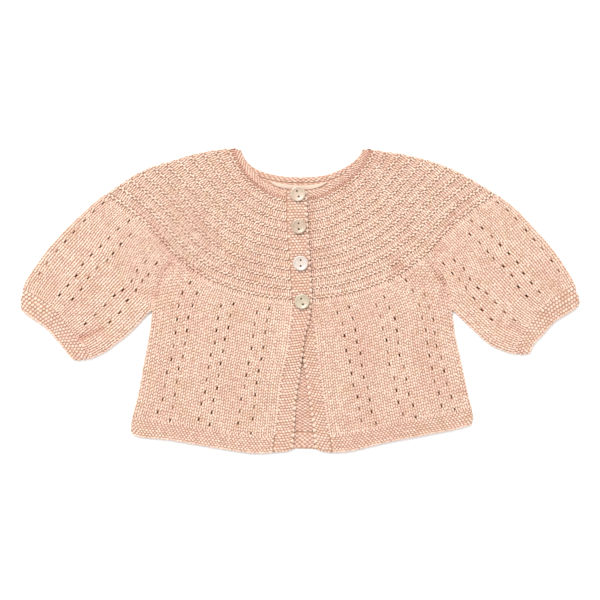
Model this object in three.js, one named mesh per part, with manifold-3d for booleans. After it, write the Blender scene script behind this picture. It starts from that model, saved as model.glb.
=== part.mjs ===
// A hand-knitted baby cardigan laid flat, front up, sleeves spread. Millimetres.
// x runs across the garment, y from hem to neck, z up from the surface it lies on.
// Right and left are the wearer's: the right front is on the -x side and laps over the left.

import * as THREE from 'three';
import Module from 'manifold-3d';

const wasm = await Module();
wasm.setup();

// Cloth and how its layers lie
const CLOTH = 2.4; // thickness of the knitted cloth
const SEAM = 0.3; // space between neighbouring pieces and between layers
const TRIM = 0.2; // taken off each piece at a seam line
const LAYER = CLOTH + SEAM; // rise from one layer of cloth to the next
const FOLD = CLOTH + SEAM / 2; // outside radius of a fold, and the height of its middle
const FRONT = 1; // front layer, on top
const BACK = -1; // back layer, underneath

// Raised knitting: how deep the dips between the ridges are, and how many ridges there are
const WELT_DIP = 0.7;
const GARTER_DIP = 0.5;
const YOKE_WELTS = 11;
const HEM_RIDGES = 4;
const CUFF_RIDGES = 3;
const BUTTONHOLE_BAND_RIDGES = 48;
const BUTTON_BAND_RIDGES = 18; // only where it is seen, below the lap
const LAP_END = 0.6; // share of the button band's length that is under the buttonhole band

// The lap: the right front rises over the button band and comes down below it
const LAP_RAMP = 9; // width over which the right front rises
const LAP_TOP_Y = -45; // above this the lap is at full height
const LAP_FOOT_Y = -59; // below this the bands lie side by side

// Buttons and buttonholes
const BUTTON_R = 6.25;
const BUTTON_H = 2.0;
const BUTTON_SIDES = 28;
const BUTTON_HOLE_SIDES = 10;
const BUTTON_HOLE_R = 0.85;
const BUTTON_HOLE_SPACING = 4.8;
const BUTTONHOLE_LENGTH = 6.5;
const BUTTONHOLE_WIDTH = 1.6;
const TAPE = 1.0; // thickness of the neck tape

// Centre of each button and the turn of its two holes: x, y, degrees from upright
const BUTTONS = [
  [-1.8, 86.9, 16],
  [-1.1, 60.3, 2],
  [0.5, 30.2, 0],
  [1.7, -1.2, 15],
];

// Broad soft folds that lift the front layer: x0, y0, x1, y1, half-width, height
const SOFT_FOLDS = [
  [-138, 52, -196, -6, 15, 1.2],
  [139, 52, 196, -4, 15, 1.2],
  [-72, -8, -90, -98, 20, 1.0],
  [70, -8, 94, -94, 20, 1.0],
];

// Seam lines, folds and edges of each half, each a run of points x, y
const RIGHT = {
  neckEdge: [[-10.9, 89.6], [-21.2, 92.8], [-29.9, 98], [-39, 107], [-45.8, 115.7], [-48.8, 124.2]],
  neckSeam: [[-10.7, 84.6], [-23.3, 88.3], [-33.3, 94.4], [-43, 104], [-50, 114.5], [-54, 125.2]],
  neckFold: [[-48.8, 124.2], [-54, 125.2]],
  shoulderFold: [
    [-54, 125.2], [-61.1, 125], [-85.7, 121], [-105.4, 115.2], [-122.6, 109.9], [-132.4, 105.4],
    [-148.8, 95.5], [-163.6, 84.9],
  ],
  bandSeamYoke: [[-10.7, 84.6], [-10.5, 57], [-8.3, 32], [-5.9, -3]],
  bandSeamFront: [
    [-5.9, -3], [-6.6, -10], [-9.1, -34], [-11.2, -46.3], [-14.3, -59], [-16.5, -72.6],
    [-18, -89], [-20.4, -110.6],
  ],
  bandSeamHem: [[-20.4, -110.6], [-22.2, -124.8]],
  yokeToFront: [[-5.9, -3], [-32.4, 0], [-58.6, 7], [-82.4, 17.3], [-105, 34.5]],
  yokeToSleeve: [[-105, 34.5], [-125.9, 57], [-141.8, 70.7], [-163.6, 84.9]],
  underarm: [[-105, 34.5], [-114.5, 21], [-119.3, 8], [-121.5, -8.6]],
  side: [[-121.5, -8.6], [-124.2, -27.5], [-128.3, -49.6], [-133.3, -76.7], [-138, -95]],
  hemSide: [[-138, -95], [-139.8, -102], [-139.6, -108]],
  hemTop: [
    [-20.4, -110.6], [-30.8, -111.3], [-42.2, -110.9], [-74, -106.1], [-97, -102], [-110, -100],
    [-131, -97], [-138, -95],
  ],
  hemEdge: [
    [-22.2, -124.8], [-30.8, -125.5], [-42.2, -125], [-74.2, -120.1], [-97.2, -116],
    [-110.3, -114], [-133.3, -111.5], [-139.6, -108],
  ],
  sleeveFold: [
    [-163.6, 84.9], [-174.3, 75.9], [-184.9, 66], [-194.8, 56.2], [-203.8, 46.3], [-212, 36.5],
    [-218.5, 26.7], [-225.1, 16.8], [-227.9, 9.9],
  ],
  sleeveUnder: [
    [-121.5, -8.6], [-125.9, -12.7], [-134.9, -22.6], [-145.6, -32.4], [-152.1, -37.3],
    [-158.7, -42.2], [-167.7, -46.8], [-171.2, -48.1],
  ],
  cuffSeam: [[-227.9, 9.9], [-214, 2.5], [-201.6, -7.3], [-184.3, -29.1], [-171.2, -48.1]],
  cuffFold: [[-227.9, 9.9], [-230, 2], [-230, -6.5]],
  cuffUnder: [[-171.2, -48.1], [-176.7, -49.6], [-183.3, -49.8]],
  cuffEdge: [
    [-230, -6.5], [-223.5, -12.2], [-208.7, -22.6], [-203.8, -27.5], [-195.6, -37.3],
    [-187.4, -47.2], [-183.3, -49.8],
  ],
};
const LEFT = {
  neckEdge: [[4.1, 89.2], [13.9, 90.6], [23.4, 95.3], [32.8, 100.9], [40, 106.6], [46.8, 114], [51.6, 124.4]],
  neckSeam: [[3.9, 84.4], [14.5, 85.9], [25, 90.5], [34.5, 96.3], [43.8, 103.8], [51.2, 112.5], [57, 124.6]],
  neckFold: [[51.6, 124.4], [57, 124.6]],
  shoulderFold: [
    [57, 124.6], [66, 123.4], [87.3, 120.1], [106.2, 115.2], [121, 110.3], [131.6, 105.4],
    [148.8, 95.5], [164.4, 85.3],
  ],
  bandSeamYoke: [[3.9, 84.4], [5.2, 57], [7, 28], [8.8, -2.5]],
  bandSeamFront: [
    [8.8, -2.5], [10.2, -12], [12.4, -25], [14.8, -46.3], [18, -70], [21.3, -92], [24.2, -110.5],
  ],
  bandSeamHem: [[24.2, -110.5], [26.6, -125]],
  yokeToFront: [[8.8, -2.5], [36.5, 1.2], [58.6, 7.6], [82, 17.3], [104.5, 33.5]],
  yokeToSleeve: [[104.5, 33.5], [125.9, 57], [142.4, 70.7], [164.4, 85.3]],
  underarm: [[104.5, 33.5], [115, 20.5], [121.7, 7], [125.2, -8.8]],
  side: [[125.2, -8.8], [127.5, -27.5], [130.8, -42.2], [134.1, -57], [138.2, -76.7], [141.2, -88]],
  hemSide: [[141.2, -88], [142.9, -96], [141.5, -101.8]],
  hemTop: [
    [24.2, -110.5], [37.3, -110.2], [49.6, -107.8], [73.4, -102.2], [98.8, -97.1], [125, -92],
    [141.2, -88],
  ],
  hemEdge: [
    [26.6, -125], [37.3, -124.2], [49.6, -121.8], [73.4, -116], [98.8, -111.1], [125, -106.2],
    [141.5, -101.8],
  ],
  sleeveFold: [
    [164.4, 85.3], [176.7, 75.9], [186.6, 66], [195.6, 56.2], [204.6, 46.3], [212, 36.5],
    [218.5, 26.7], [224.3, 16.8], [226.2, 13],
  ],
  sleeveUnder: [
    [125.2, -8.8], [129.2, -12.7], [144.7, -27.5], [156.2, -37.3], [168.5, -42.6], [174.5, -44.3],
  ],
  cuffSeam: [[226.2, 13], [213, 5.5], [200.8, -4], [184, -25.5], [174.5, -44.3]],
  cuffFold: [[226.2, 13], [228, 7], [230, 2], [229.4, -3.4]],
  cuffUnder: [[174.5, -44.3], [180, -45.4], [186.6, -44.9]],
  cuffEdge: [
    [229.4, -3.4], [224.3, -7.8], [208.7, -17.6], [199.7, -27.5], [190.7, -37.3], [188.9, -42.2],
    [186.6, -44.9],
  ],
};
const BACK_LINES = {
  neckEdge: [
    [-48.8, 124.2], [-45, 115.7], [-36.2, 107.8], [-20.6, 102.8], [0.4, 100.9], [20.1, 102.5],
    [29.1, 105.4], [39, 110.3], [45.5, 115.2], [50.2, 120.6], [51.6, 124.4],
  ],
  neckSeam: [
    [-54, 125.2], [-49.8, 113.5], [-39.5, 103.8], [-21.9, 98], [0.4, 95.9], [21.3, 97.6],
    [31.3, 100.9], [41.8, 106.3], [50.5, 112.8], [57, 124.6],
  ],
  middle: [[-5.9, -3], [8.8, -2.5]],
  hemTop: [
    [-138, -95], [-110, -99.5], [-74, -105], [-42, -109], [0, -108.5], [37, -109], [73, -101.7],
    [125, -91.7], [141.2, -88],
  ],
  hemEdge: [
    [-139.6, -108], [-133.3, -110.8], [-110, -113.2], [-74.2, -119.3], [-42.2, -123], [0, -121.6],
    [37.3, -122.8], [73.4, -115.3], [98.8, -110.5], [125, -105.6], [141.5, -101.8],
  ],
};
const BAND_LINES = {
  buttonholeFree: [
    [5, 90], [6.4, 57.8], [7.8, 32.4], [9.4, -0.4], [7.5, -15.2], [2.9, -34], [1.6, -46.3],
    [-1.2, -66], [-3.7, -82.4], [-4.7, -102], [-6, -122.2],
  ],
  buttonholeTop: [[-10.9, 89.6], [-3, 90.3], [5, 90]],
  buttonholeFoot: [[-22.2, -124.8], [-11.1, -124], [-6, -122.2]],
  buttonFree: [
    [-9.4, 89], [-8.3, 57], [-6.8, 32], [-5, -2.5], [-2.6, -20], [2.3, -43], [3.5, -50.4],
    [7.2, -75], [10.6, -100], [13, -122.4],
  ],
  buttonTop: [[-9.4, 89], [4.1, 89.2]],
  buttonFoot: [[13, -122.4], [20, -124.4], [26.6, -125]],
};
const TAPE_LINES = {
  upper: [[-28, 99.4], [-20.6, 97.3], [0.4, 95.4], [20.1, 97], [26, 98.5]],
  lower: [[-28, 97.9], [-20.6, 93.9], [-10, 91.9], [0.4, 91.3], [8, 91.5], [20.1, 94.9], [26, 97.6]],
};

// Lines in the plane of the cloth

function line(points) {
  const knots = points.map(([x, y]) => new THREE.Vector3(x, y, 0));
  return knots.length > 2 ? new THREE.CatmullRomCurve3(knots) : new THREE.LineCurve3(...knots);
}

function joined(...runs) {
  const whole = new THREE.CurvePath();
  runs.forEach((points) => whole.add(line(points)));
  return whole;
}

const turned = (points) => [...points].reverse();

// A panel spans four edge lines: head and foot run from its start side to its end side,
// start and end run from its head to its foot.
function panel(head, foot, start, end) {
  const corners = [head.getPoint(0), head.getPoint(1), foot.getPoint(0), foot.getPoint(1)];
  const spot = (u, v) => {
    const edges = [
      [head.getPoint(u), 1 - v],
      [foot.getPoint(u), v],
      [start.getPoint(v), 1 - u],
      [end.getPoint(v), u],
      [corners[0], -(1 - u) * (1 - v)],
      [corners[1], -u * (1 - v)],
      [corners[2], -(1 - u) * v],
      [corners[3], -u * v],
    ];
    return edges.reduce((sum, [point, share]) => sum.addScaledVector(point, share), new THREE.Vector3());
  };
  return {
    spot,
    width: (v) => spot(0, v).distanceTo(spot(1, v)),
    length: (u) => spot(u, 0).distanceTo(spot(u, 1)),
  };
}

// Height of the front layer over the back one

function softFolds(x, y) {
  return SOFT_FOLDS.reduce((sum, [x0, y0, x1, y1, halfWidth, height]) => {
    const [dx, dy] = [x1 - x0, y1 - y0];
    const along = THREE.MathUtils.clamp(((x - x0) * dx + (y - y0) * dy) / (dx * dx + dy * dy), 0, 1);
    const away = Math.hypot(x - x0 - along * dx, y - y0 - along * dy) / halfWidth;
    return sum + height * Math.exp(-away * away);
  }, 0);
}

function lapHeight(y) {
  return LAYER * THREE.MathUtils.smoothstep(y, LAP_FOOT_Y, LAP_TOP_Y);
}

const RIGHT_BAND_SEAM = [...RIGHT.bandSeamYoke, ...RIGHT.bandSeamFront.slice(1), RIGHT.bandSeamHem[1]];

function bandSeamX(y) {
  const lower = Math.max(1, RIGHT_BAND_SEAM.findIndex((point) => point[1] <= y));
  const [[x0, y0], [x1, y1]] = [RIGHT_BAND_SEAM[lower - 1], RIGHT_BAND_SEAM[lower]];
  return THREE.MathUtils.mapLinear(THREE.MathUtils.clamp(y, y1, y0), y0, y1, x0, x1);
}

function rise(x, y) {
  if (x > 0) return softFolds(x, y);
  const seam = bandSeamX(y);
  return softFolds(x, y) + lapHeight(y) * THREE.MathUtils.smoothstep(x, seam - LAP_RAMP, seam);
}

const bandRise = (x, y) => softFolds(x, y) + lapHeight(y);

// Rows and columns of cloth

// Rows with one dip and one crest to a ridge: place along the piece, depth of the dip
function ridgedRows(count, dip, from = 0, to = 1) {
  const rows = [];
  const step = (to - from) / count;
  for (let ridge = 0; ridge < count; ridge += 1) {
    rows.push([from + step * ridge, dip], [from + step * (ridge + 0.5), 0]);
  }
  return [...rows, [to, dip]];
}

const plainRows = (count) => Array.from({ length: count + 1 }, (_, row) => [row / count, 0]);

// A column is one line of cloth along a panel: where it lies across, and its angle round a fold,
// 90 degrees where the cloth is flat and 0 at the fold's edge.
const flat = (cloth, layer, count, from = 0, to = 1) =>
  Array.from({ length: count + 1 }, (_, n) => ({
    cloth,
    layer,
    share: from + ((to - from) * n) / count,
    angle: 90,
  }));

const bend = (cloth, layer, side, angle) => ({ cloth, layer, side, angle });

function columnPoint(column, row, radius, folds, lift, plumb) {
  const [along, dip] = row;
  const { cloth, layer, share, side } = column;
  const angle = THREE.MathUtils.degToRad(column.angle);
  const width = cloth.width(along);
  const insets = folds.map((folded) => (folded ? FOLD : TRIM));
  const shown = (1 + layer * Math.sin(angle)) / 2;
  const reach = radius === FOLD ? FOLD - dip * shown : radius;
  let across = 0;
  if (side === undefined) {
    across = (insets[0] + share * (width - insets[0] - insets[1])) / width;
  } else {
    const fromEdge = FOLD - (plumb ? FOLD : reach) * Math.cos(angle) + plumb * TRIM;
    across = side === 0 ? fromEdge / width : 1 - fromEdge / width;
  }
  const length = cloth.length(across);
  const down = (TRIM + along * (length - 2 * TRIM)) / length;
  const spot = cloth.spot(across, down);
  const loft = layer === FRONT ? lift(spot.x, spot.y) : 0;
  const steep = plumb && radius !== FOLD ? 1 : Math.sin(angle);
  spot.z = FOLD + layer * steep * (reach + loft);
  return spot;
}

// Closed body from an outer and an inner face with the same rows and columns

function solid(outer, inner, ring) {
  const rowCount = outer.length;
  const columnCount = outer[0].length;
  const positions = [];
  outer.concat(inner).forEach((row) => row.forEach((p) => positions.push(p.x, p.y, p.z)));
  const index = [];
  const at = (face, row, column) => (face * rowCount + row) * columnCount + (column % columnCount);
  const quad = (a, b, c, d) => index.push(a, b, c, a, c, d);
  const lastColumn = ring ? columnCount : columnCount - 1;
  for (let row = 0; row < rowCount - 1; row += 1) {
    for (let column = 0; column < lastColumn; column += 1) {
      quad(at(0, row, column), at(0, row + 1, column), at(0, row + 1, column + 1), at(0, row, column + 1));
      quad(at(1, row, column), at(1, row, column + 1), at(1, row + 1, column + 1), at(1, row + 1, column));
    }
  }
  for (let column = 0; column < lastColumn; column += 1) {
    quad(at(0, 0, column), at(0, 0, column + 1), at(1, 0, column + 1), at(1, 0, column));
    const last = rowCount - 1;
    quad(at(0, last, column), at(1, last, column), at(1, last, column + 1), at(0, last, column + 1));
  }
  if (!ring) {
    for (let row = 0; row < rowCount - 1; row += 1) {
      quad(at(0, row, 0), at(1, row, 0), at(1, row + 1, 0), at(0, row + 1, 0));
      const last = columnCount - 1;
      quad(at(0, row, last), at(0, row + 1, last), at(1, row + 1, last), at(1, row, last));
    }
  }
  return facingOut(positions, index);
}

function facingOut(positions, index) {
  const corner = (n) => new THREE.Vector3().fromArray(positions, 3 * n);
  let volume = 0;
  for (let n = 0; n < index.length; n += 3) {
    volume += corner(index[n]).dot(corner(index[n + 1]).cross(corner(index[n + 2])));
  }
  const geometry = new THREE.BufferGeometry();
  geometry.setAttribute('position', new THREE.Float32BufferAttribute(positions, 3));
  geometry.setIndex(volume > 0 ? index : index.reverse());
  return geometry;
}

// A piece of cloth. Folded pieces wrap round a shoulder or sleeve edge; plumb ones are single
// layers whose side edge is rounded down to the side seam.
function clothPiece(columns, rows, { folds = [false, false], lift = rise, ring = false, plumb = false } = {}) {
  const face = (radius) =>
    rows.map((row) => columns.map((column) => columnPoint(column, row, radius, folds, lift, plumb)));
  return solid(face(FOLD), face(SEAM / 2), ring);
}

// Bodies cut with the boolean kernel

function toManifold(geometry) {
  const mesh = new wasm.Mesh({
    numProp: 3,
    vertProperties: new Float32Array(geometry.attributes.position.array),
    triVerts: new Uint32Array(geometry.index.array),
  });
  return new wasm.Manifold(mesh);
}

function fromManifold(body) {
  const mesh = body.getMesh();
  return facingOut(Array.from(mesh.vertProperties), Array.from(mesh.triVerts));
}

// Pieces

function foldedColumns(right, back, left, counts) {
  return [
    ...flat(right, FRONT, counts.front),
    bend(right, FRONT, 1, 45),
    bend(right, FRONT, 1, 0),
    bend(back, BACK, 0, 45),
    ...flat(back, BACK, counts.back),
    bend(back, BACK, 1, 45),
    bend(left, FRONT, 1, 0),
    bend(left, FRONT, 1, 45),
    ...flat(left, FRONT, counts.front).reverse(),
  ];
}

// Round yoke: one folded wall from the right band over both shoulders to the left band. A column
// on the front panels has its fold at their end side.
function foldedPiece(right, back, left, counts, rows) {
  const columns = foldedColumns(right, back, left, counts);
  const foldsOf = (column) => (column.layer === BACK ? [true, true] : [false, true]);
  const face = (radius) =>
    rows.map((row) => columns.map((column) => columnPoint(column, row, radius, foldsOf(column), rise, false)));
  return solid(face(FOLD), face(SEAM / 2), false);
}

// Seam between a front band and the end of the neckband
const bandSeamNeck = (lines) => [lines.neckEdge[0], lines.neckSeam[0]];

function neckband() {
  const half = (lines) =>
    panel(line(lines.neckEdge), line(lines.neckSeam), line(bandSeamNeck(lines)), line(lines.neckFold));
  const back = panel(
    line(BACK_LINES.neckEdge),
    line(BACK_LINES.neckSeam),
    line(RIGHT.neckFold),
    line(LEFT.neckFold),
  );
  return foldedPiece(half(RIGHT), back, half(LEFT), { front: 7, back: 14 }, ridgedRows(1, GARTER_DIP));
}

function yoke() {
  const half = (lines) =>
    panel(
      line(lines.neckSeam),
      joined(lines.yokeToFront, lines.yokeToSleeve),
      line(lines.bandSeamYoke),
      line(lines.shoulderFold),
    );
  const backFoot = joined(
    turned(RIGHT.yokeToSleeve),
    turned(RIGHT.yokeToFront),
    BACK_LINES.middle,
    LEFT.yokeToFront,
    LEFT.yokeToSleeve,
  );
  const back = panel(line(BACK_LINES.neckSeam), backFoot, line(RIGHT.shoulderFold), line(LEFT.shoulderFold));
  return foldedPiece(half(RIGHT), back, half(LEFT), { front: 9, back: 22 }, ridgedRows(YOKE_WELTS, WELT_DIP));
}

function sideRounding(cloth, layer, side) {
  const columns = [bend(cloth, layer, side, 50), bend(cloth, layer, side, 14)];
  return side === 0 ? columns.reverse() : columns;
}

function frontPanel(lines) {
  const cloth = panel(
    line(lines.yokeToFront),
    line(lines.hemTop),
    line(lines.bandSeamFront),
    joined(lines.underarm, lines.side),
  );
  const columns = [...flat(cloth, FRONT, 9), ...sideRounding(cloth, FRONT, 1)];
  return clothPiece(columns, plainRows(12), { folds: [false, true], plumb: true });
}

function frontHem(lines) {
  const cloth = panel(line(lines.hemTop), line(lines.hemEdge), line(lines.bandSeamHem), line(lines.hemSide));
  const columns = [...flat(cloth, FRONT, 9), ...sideRounding(cloth, FRONT, 1)];
  return clothPiece(columns, ridgedRows(HEM_RIDGES, GARTER_DIP), { folds: [false, true], plumb: true });
}

function backPanel() {
  const head = joined(turned(RIGHT.yokeToFront), BACK_LINES.middle, LEFT.yokeToFront);
  const cloth = panel(
    head,
    line(BACK_LINES.hemTop),
    joined(RIGHT.underarm, RIGHT.side),
    joined(LEFT.underarm, LEFT.side),
  );
  return singleBack(cloth, 14, plainRows(12));
}

function backHem() {
  const cloth = panel(
    line(BACK_LINES.hemTop),
    line(BACK_LINES.hemEdge),
    line(RIGHT.hemSide),
    line(LEFT.hemSide),
  );
  return singleBack(cloth, 14, plainRows(2));
}

function singleBack(cloth, count, rows) {
  const columns = [
    ...sideRounding(cloth, BACK, 0),
    ...flat(cloth, BACK, count),
    ...sideRounding(cloth, BACK, 1),
  ];
  return clothPiece(columns, rows, { folds: [true, true], plumb: true });
}

function tube(cloth, rows, count) {
  const columns = [
    bend(cloth, FRONT, 0, 0),
    bend(cloth, FRONT, 0, 45),
    ...flat(cloth, FRONT, count),
    bend(cloth, FRONT, 1, 45),
    bend(cloth, FRONT, 1, 0),
    bend(cloth, BACK, 1, 45),
    ...flat(cloth, BACK, count).reverse(),
    bend(cloth, BACK, 0, 45),
  ];
  return clothPiece(columns, rows, { folds: [true, true], ring: true });
}

function sleeve(lines) {
  const cloth = panel(
    line(turned(lines.yokeToSleeve)),
    line(lines.cuffSeam),
    line(lines.sleeveFold),
    joined(lines.underarm, lines.sleeveUnder),
  );
  return tube(cloth, plainRows(11), 5);
}

function cuff(lines) {
  const cloth = panel(line(lines.cuffSeam), line(lines.cuffEdge), line(lines.cuffFold), line(lines.cuffUnder));
  return tube(cloth, ridgedRows(CUFF_RIDGES, GARTER_DIP), 5);
}

function buttonholeBand() {
  const cloth = panel(
    line(BAND_LINES.buttonholeTop),
    line(BAND_LINES.buttonholeFoot),
    joined(
      bandSeamNeck(RIGHT),
      RIGHT.bandSeamYoke,
      RIGHT.bandSeamFront,
      RIGHT.bandSeamHem,
    ),
    line(BAND_LINES.buttonholeFree),
  );
  const rows = ridgedRows(BUTTONHOLE_BAND_RIDGES, GARTER_DIP);
  const band = clothPiece(flat(cloth, FRONT, 2), rows, { lift: bandRise });
  return BUTTONS.reduce((body, [x, y]) => body.subtract(buttonhole(x, y)), toManifold(band));
}

function buttonhole(x, y) {
  const size = [BUTTONHOLE_LENGTH, BUTTONHOLE_WIDTH, 4 * CLOTH];
  return wasm.Manifold.cube(size, true).translate([x, y, 2 * LAYER + CLOTH / 2]);
}

function buttonBand() {
  const cloth = panel(
    line(BAND_LINES.buttonTop),
    line(BAND_LINES.buttonFoot),
    line(BAND_LINES.buttonFree),
    joined(bandSeamNeck(LEFT), LEFT.bandSeamYoke, LEFT.bandSeamFront, LEFT.bandSeamHem),
  );
  const hidden = plainRows(16).map(([along]) => [along * LAP_END, 0]);
  const rows = [...hidden.slice(0, -1), ...ridgedRows(BUTTON_BAND_RIDGES, GARTER_DIP, LAP_END, 1)];
  return clothPiece(flat(cloth, FRONT, 2), rows, { lift: softFolds });
}

function neckTape() {
  const upper = line(TAPE_LINES.upper);
  const lower = line(TAPE_LINES.lower);
  const steps = Array.from({ length: 15 }, (_, n) => n / 14);
  const face = (height) =>
    [upper, lower].map((edge) =>
      steps.map((step) => {
        const spot = edge.getPoint(step);
        spot.z = height;
        return spot;
      }),
    );
  return solid(face(LAYER + TAPE), face(LAYER), false);
}

function button(x, y, turn) {
  // Half of the section: distance from the middle, height
  const section = [
    [0, 0.25], [3.6, 0], [5.6, 0.25], [BUTTON_R, 0.9], [BUTTON_R, 1.3], [5.7, BUTTON_H],
    [4.7, BUTTON_H], [4.0, 1.5], [0, 1.3],
  ];
  const disc = wasm.Manifold.revolve([section], BUTTON_SIDES);
  const hole = (side) =>
    wasm.Manifold.cylinder(3 * BUTTON_H, BUTTON_HOLE_R, BUTTON_HOLE_R, BUTTON_HOLE_SIDES, true)
      .translate([0, (side * BUTTON_HOLE_SPACING) / 2, BUTTON_H / 2]);
  const seat = LAYER + bandRise(x, y) + LAYER;
  return disc.subtract(hole(1)).subtract(hole(-1)).rotate([0, 0, turn]).translate([x, y, seat]);
}

// Assembly

const YARN = { color: 0xe9c3b0, roughness: 0.95 };
const SHELL = { roughness: 0.3 };
const COTTON = { color: 0xf0e2cc, roughness: 0.9 };
const BUTTON_COLOURS = [0xd8cdb8, 0xcbb597, 0xe6e2da, 0xd3cfb4];

function piece(name, geometry, look) {
  geometry.computeVertexNormals();
  const mesh = new THREE.Mesh(geometry, new THREE.MeshStandardMaterial({ ...look, flatShading: true }));
  mesh.name = name;
  return mesh;
}

const cardigan = new THREE.Group();
cardigan.name = 'baby_cardigan';
cardigan.add(
  piece('yoke', yoke(), YARN),
  piece('neckband', neckband(), YARN),
  piece('back', backPanel(), YARN),
  piece('back_hem', backHem(), YARN),
  piece('right_front', frontPanel(RIGHT), YARN),
  piece('left_front', frontPanel(LEFT), YARN),
  piece('right_front_hem', frontHem(RIGHT), YARN),
  piece('left_front_hem', frontHem(LEFT), YARN),
  piece('right_sleeve', sleeve(RIGHT), YARN),
  piece('left_sleeve', sleeve(LEFT), YARN),
  piece('right_cuff', cuff(RIGHT), YARN),
  piece('left_cuff', cuff(LEFT), YARN),
  piece('buttonhole_band', fromManifold(buttonholeBand()), YARN),
  piece('button_band', buttonBand(), YARN),
  piece('neck_tape', neckTape(), COTTON),
  ...BUTTONS.map(([x, y, turn], n) =>
    piece(`button_${n + 1}`, fromManifold(button(x, y, turn)), { ...SHELL, color: BUTTON_COLOURS[n] }),
  ),
);

// Origin: middle of the footprint, on the surface the cardigan lies on
const box = new THREE.Box3().setFromObject(cardigan);
const middle = box.getCenter(new THREE.Vector3());
cardigan.children.forEach((mesh) => mesh.geometry.translate(-middle.x, -middle.y, -box.min.z));

export default cardigan;
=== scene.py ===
import math

import bpy
import numpy as np
from mathutils import Matrix, Vector


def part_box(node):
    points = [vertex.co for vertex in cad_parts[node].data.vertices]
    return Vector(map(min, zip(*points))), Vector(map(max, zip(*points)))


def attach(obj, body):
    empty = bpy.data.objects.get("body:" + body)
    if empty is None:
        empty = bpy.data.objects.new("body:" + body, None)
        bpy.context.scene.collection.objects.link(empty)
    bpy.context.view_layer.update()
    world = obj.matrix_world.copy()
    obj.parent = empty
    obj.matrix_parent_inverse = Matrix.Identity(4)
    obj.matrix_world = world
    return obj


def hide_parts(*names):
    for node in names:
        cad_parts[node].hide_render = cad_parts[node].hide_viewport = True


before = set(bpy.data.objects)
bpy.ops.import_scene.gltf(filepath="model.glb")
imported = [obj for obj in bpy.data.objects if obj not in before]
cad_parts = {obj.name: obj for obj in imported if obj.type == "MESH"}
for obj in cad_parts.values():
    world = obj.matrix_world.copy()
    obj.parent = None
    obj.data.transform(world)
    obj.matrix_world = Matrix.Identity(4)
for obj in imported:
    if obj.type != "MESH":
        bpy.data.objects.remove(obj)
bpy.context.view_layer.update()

# A hand-knitted baby cardigan laid flat, front up, sleeves spread. Millimetres until MM is applied.
# x runs across the garment, y from hem to neck, z up from the surface it lies on.
# Right and left are the wearer's: the right front is on the -x side and laps over the left.

MM = 0.001
ROOT = "root"

# Cloth and how its layers lie, as in the CAD
CLOTH = 2.4  # thickness of the knitted cloth
SEAM = 0.3  # space between neighbouring pieces and between layers
LAYER = CLOTH + SEAM
FOLD = CLOTH + SEAM / 2  # outside radius of a fold, and the height of its middle
FRONT = 1  # front layer, on top
BACK = -1  # back layer, underneath
LAP_RAMP = 9  # width over which the right front rises onto the button band
LAP_TOP_Y = -45  # above this line the right front lies on the button band
LAP_FOOT_Y = -59  # and below this one it lies on the back

# Yarn and gauge
YARN_DEPTH = 0.85  # the middle of the yarn below the cloth's face
INNER_YARN_DEPTH = CLOTH - 0.6  # the same for the yarn that shows on the inner face
STITCH = 3.7  # width of a stitch
UNDERSIDE = 0.8  # the yarn's middle is nowhere lower, as it lies flattened on the surface
FRONT_ROWS = 45  # rows of knitting from yoke to hem
FRONT_STITCHES = 31
BACK_STITCHES = 68
SLEEVE_ROWS = 38
SLEEVE_STITCHES = 23  # on each side of the tube
YOKE_WELTS = 11
WELT_ROWS = 3  # rows of knitting in each welt
WELT_DIP = 0.7  # depth of the grooves between welts
HEM_RIDGES = 4
FRONT_HEM_STITCHES = 44
BACK_HEM_STITCHES = 92
CUFF_RIDGES = 3
BAND_RIDGES = 48
GARTER_DIP = 0.3  # depth of the grooves between garter ridges

# Ground sheet under the stitches: how deep its middle lies below the cloth's face, and its thickness
SHEET_DEPTH = 1.5
SHEET_THICKNESS = 0.9
YOKE_SHEET_THICKNESS = 0.6
INNER_SHEET_DEPTH = 1.3  # where stitches show on both faces
INNER_SHEET_THICKNESS = 0.5

# Buttons: x, y, degrees by which the line of the two holes is turned from upright
BUTTONS = [(-1.8, 86.9, 16), (-1.1, 60.3, 2), (0.5, 30.2, 0), (1.7, -1.2, 15)]
HOLE_R = 0.85
HOLE_SPACING = 4.8
BUTTONHOLE = 6.6  # length of the slot under each button

# Broad soft folds that lift the front layer: x0, y0, x1, y1, half-width, height
SOFT_FOLDS = [
    (-138, 52, -196, -6, 15, 1.2), (139, 52, 196, -4, 15, 1.2),
    (-72, -8, -90, -98, 20, 1.0), (70, -8, 94, -94, 20, 1.0),
]
# Creases, with the same six numbers; a height below nothing is a trough
CREASES = [
    (-182, -32, -163, -24, 3.2, -1.3), (-176, -38, -158, -33, 3.0, 0.8), (183, -27, 166, -20, 3.4, -0.9),
    (-108, 30, -119, 4, 3.6, -0.9), (-113, 34, -126, 10, 4.0, 0.7), (109, 28, 120, 4, 3.6, -0.9),
    (115, 32, 128, 9, 4.0, 0.6), (-152, 30, -205, -20, 7.0, -0.4), (152, 30, 203, -18, 7.0, -0.4),
    (-50, -20, -58, -100, 9.0, -0.4), (48, -18, 60, -98, 9.0, -0.4), (-104, -30, -117, -92, 9.0, -0.35),
    (102, -30, 118, -88, 9.0, -0.35), (-201, 18, -214, 2, 5.0, -0.5), (202, 20, 213, 5, 5.0, -0.5),
    (-134, 80, -110, 42, 4.5, -0.6), (-112, 46, -107, 35, 4.0, -0.8), (-100, 31, -83, 22, 5.5, -0.8),
    (132, 77, 112, 42, 4.5, -0.6), (114, 39, 119, 14, 4.5, -0.6), (79, 28, 102, 13, 6.0, -0.8),
    (9, 82, 10, 22, 2.6, -0.6), (-24, 84, -42, 98, 3.5, -0.4), (22, 83, 42, 98, 3.5, -0.4),
]

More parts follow.
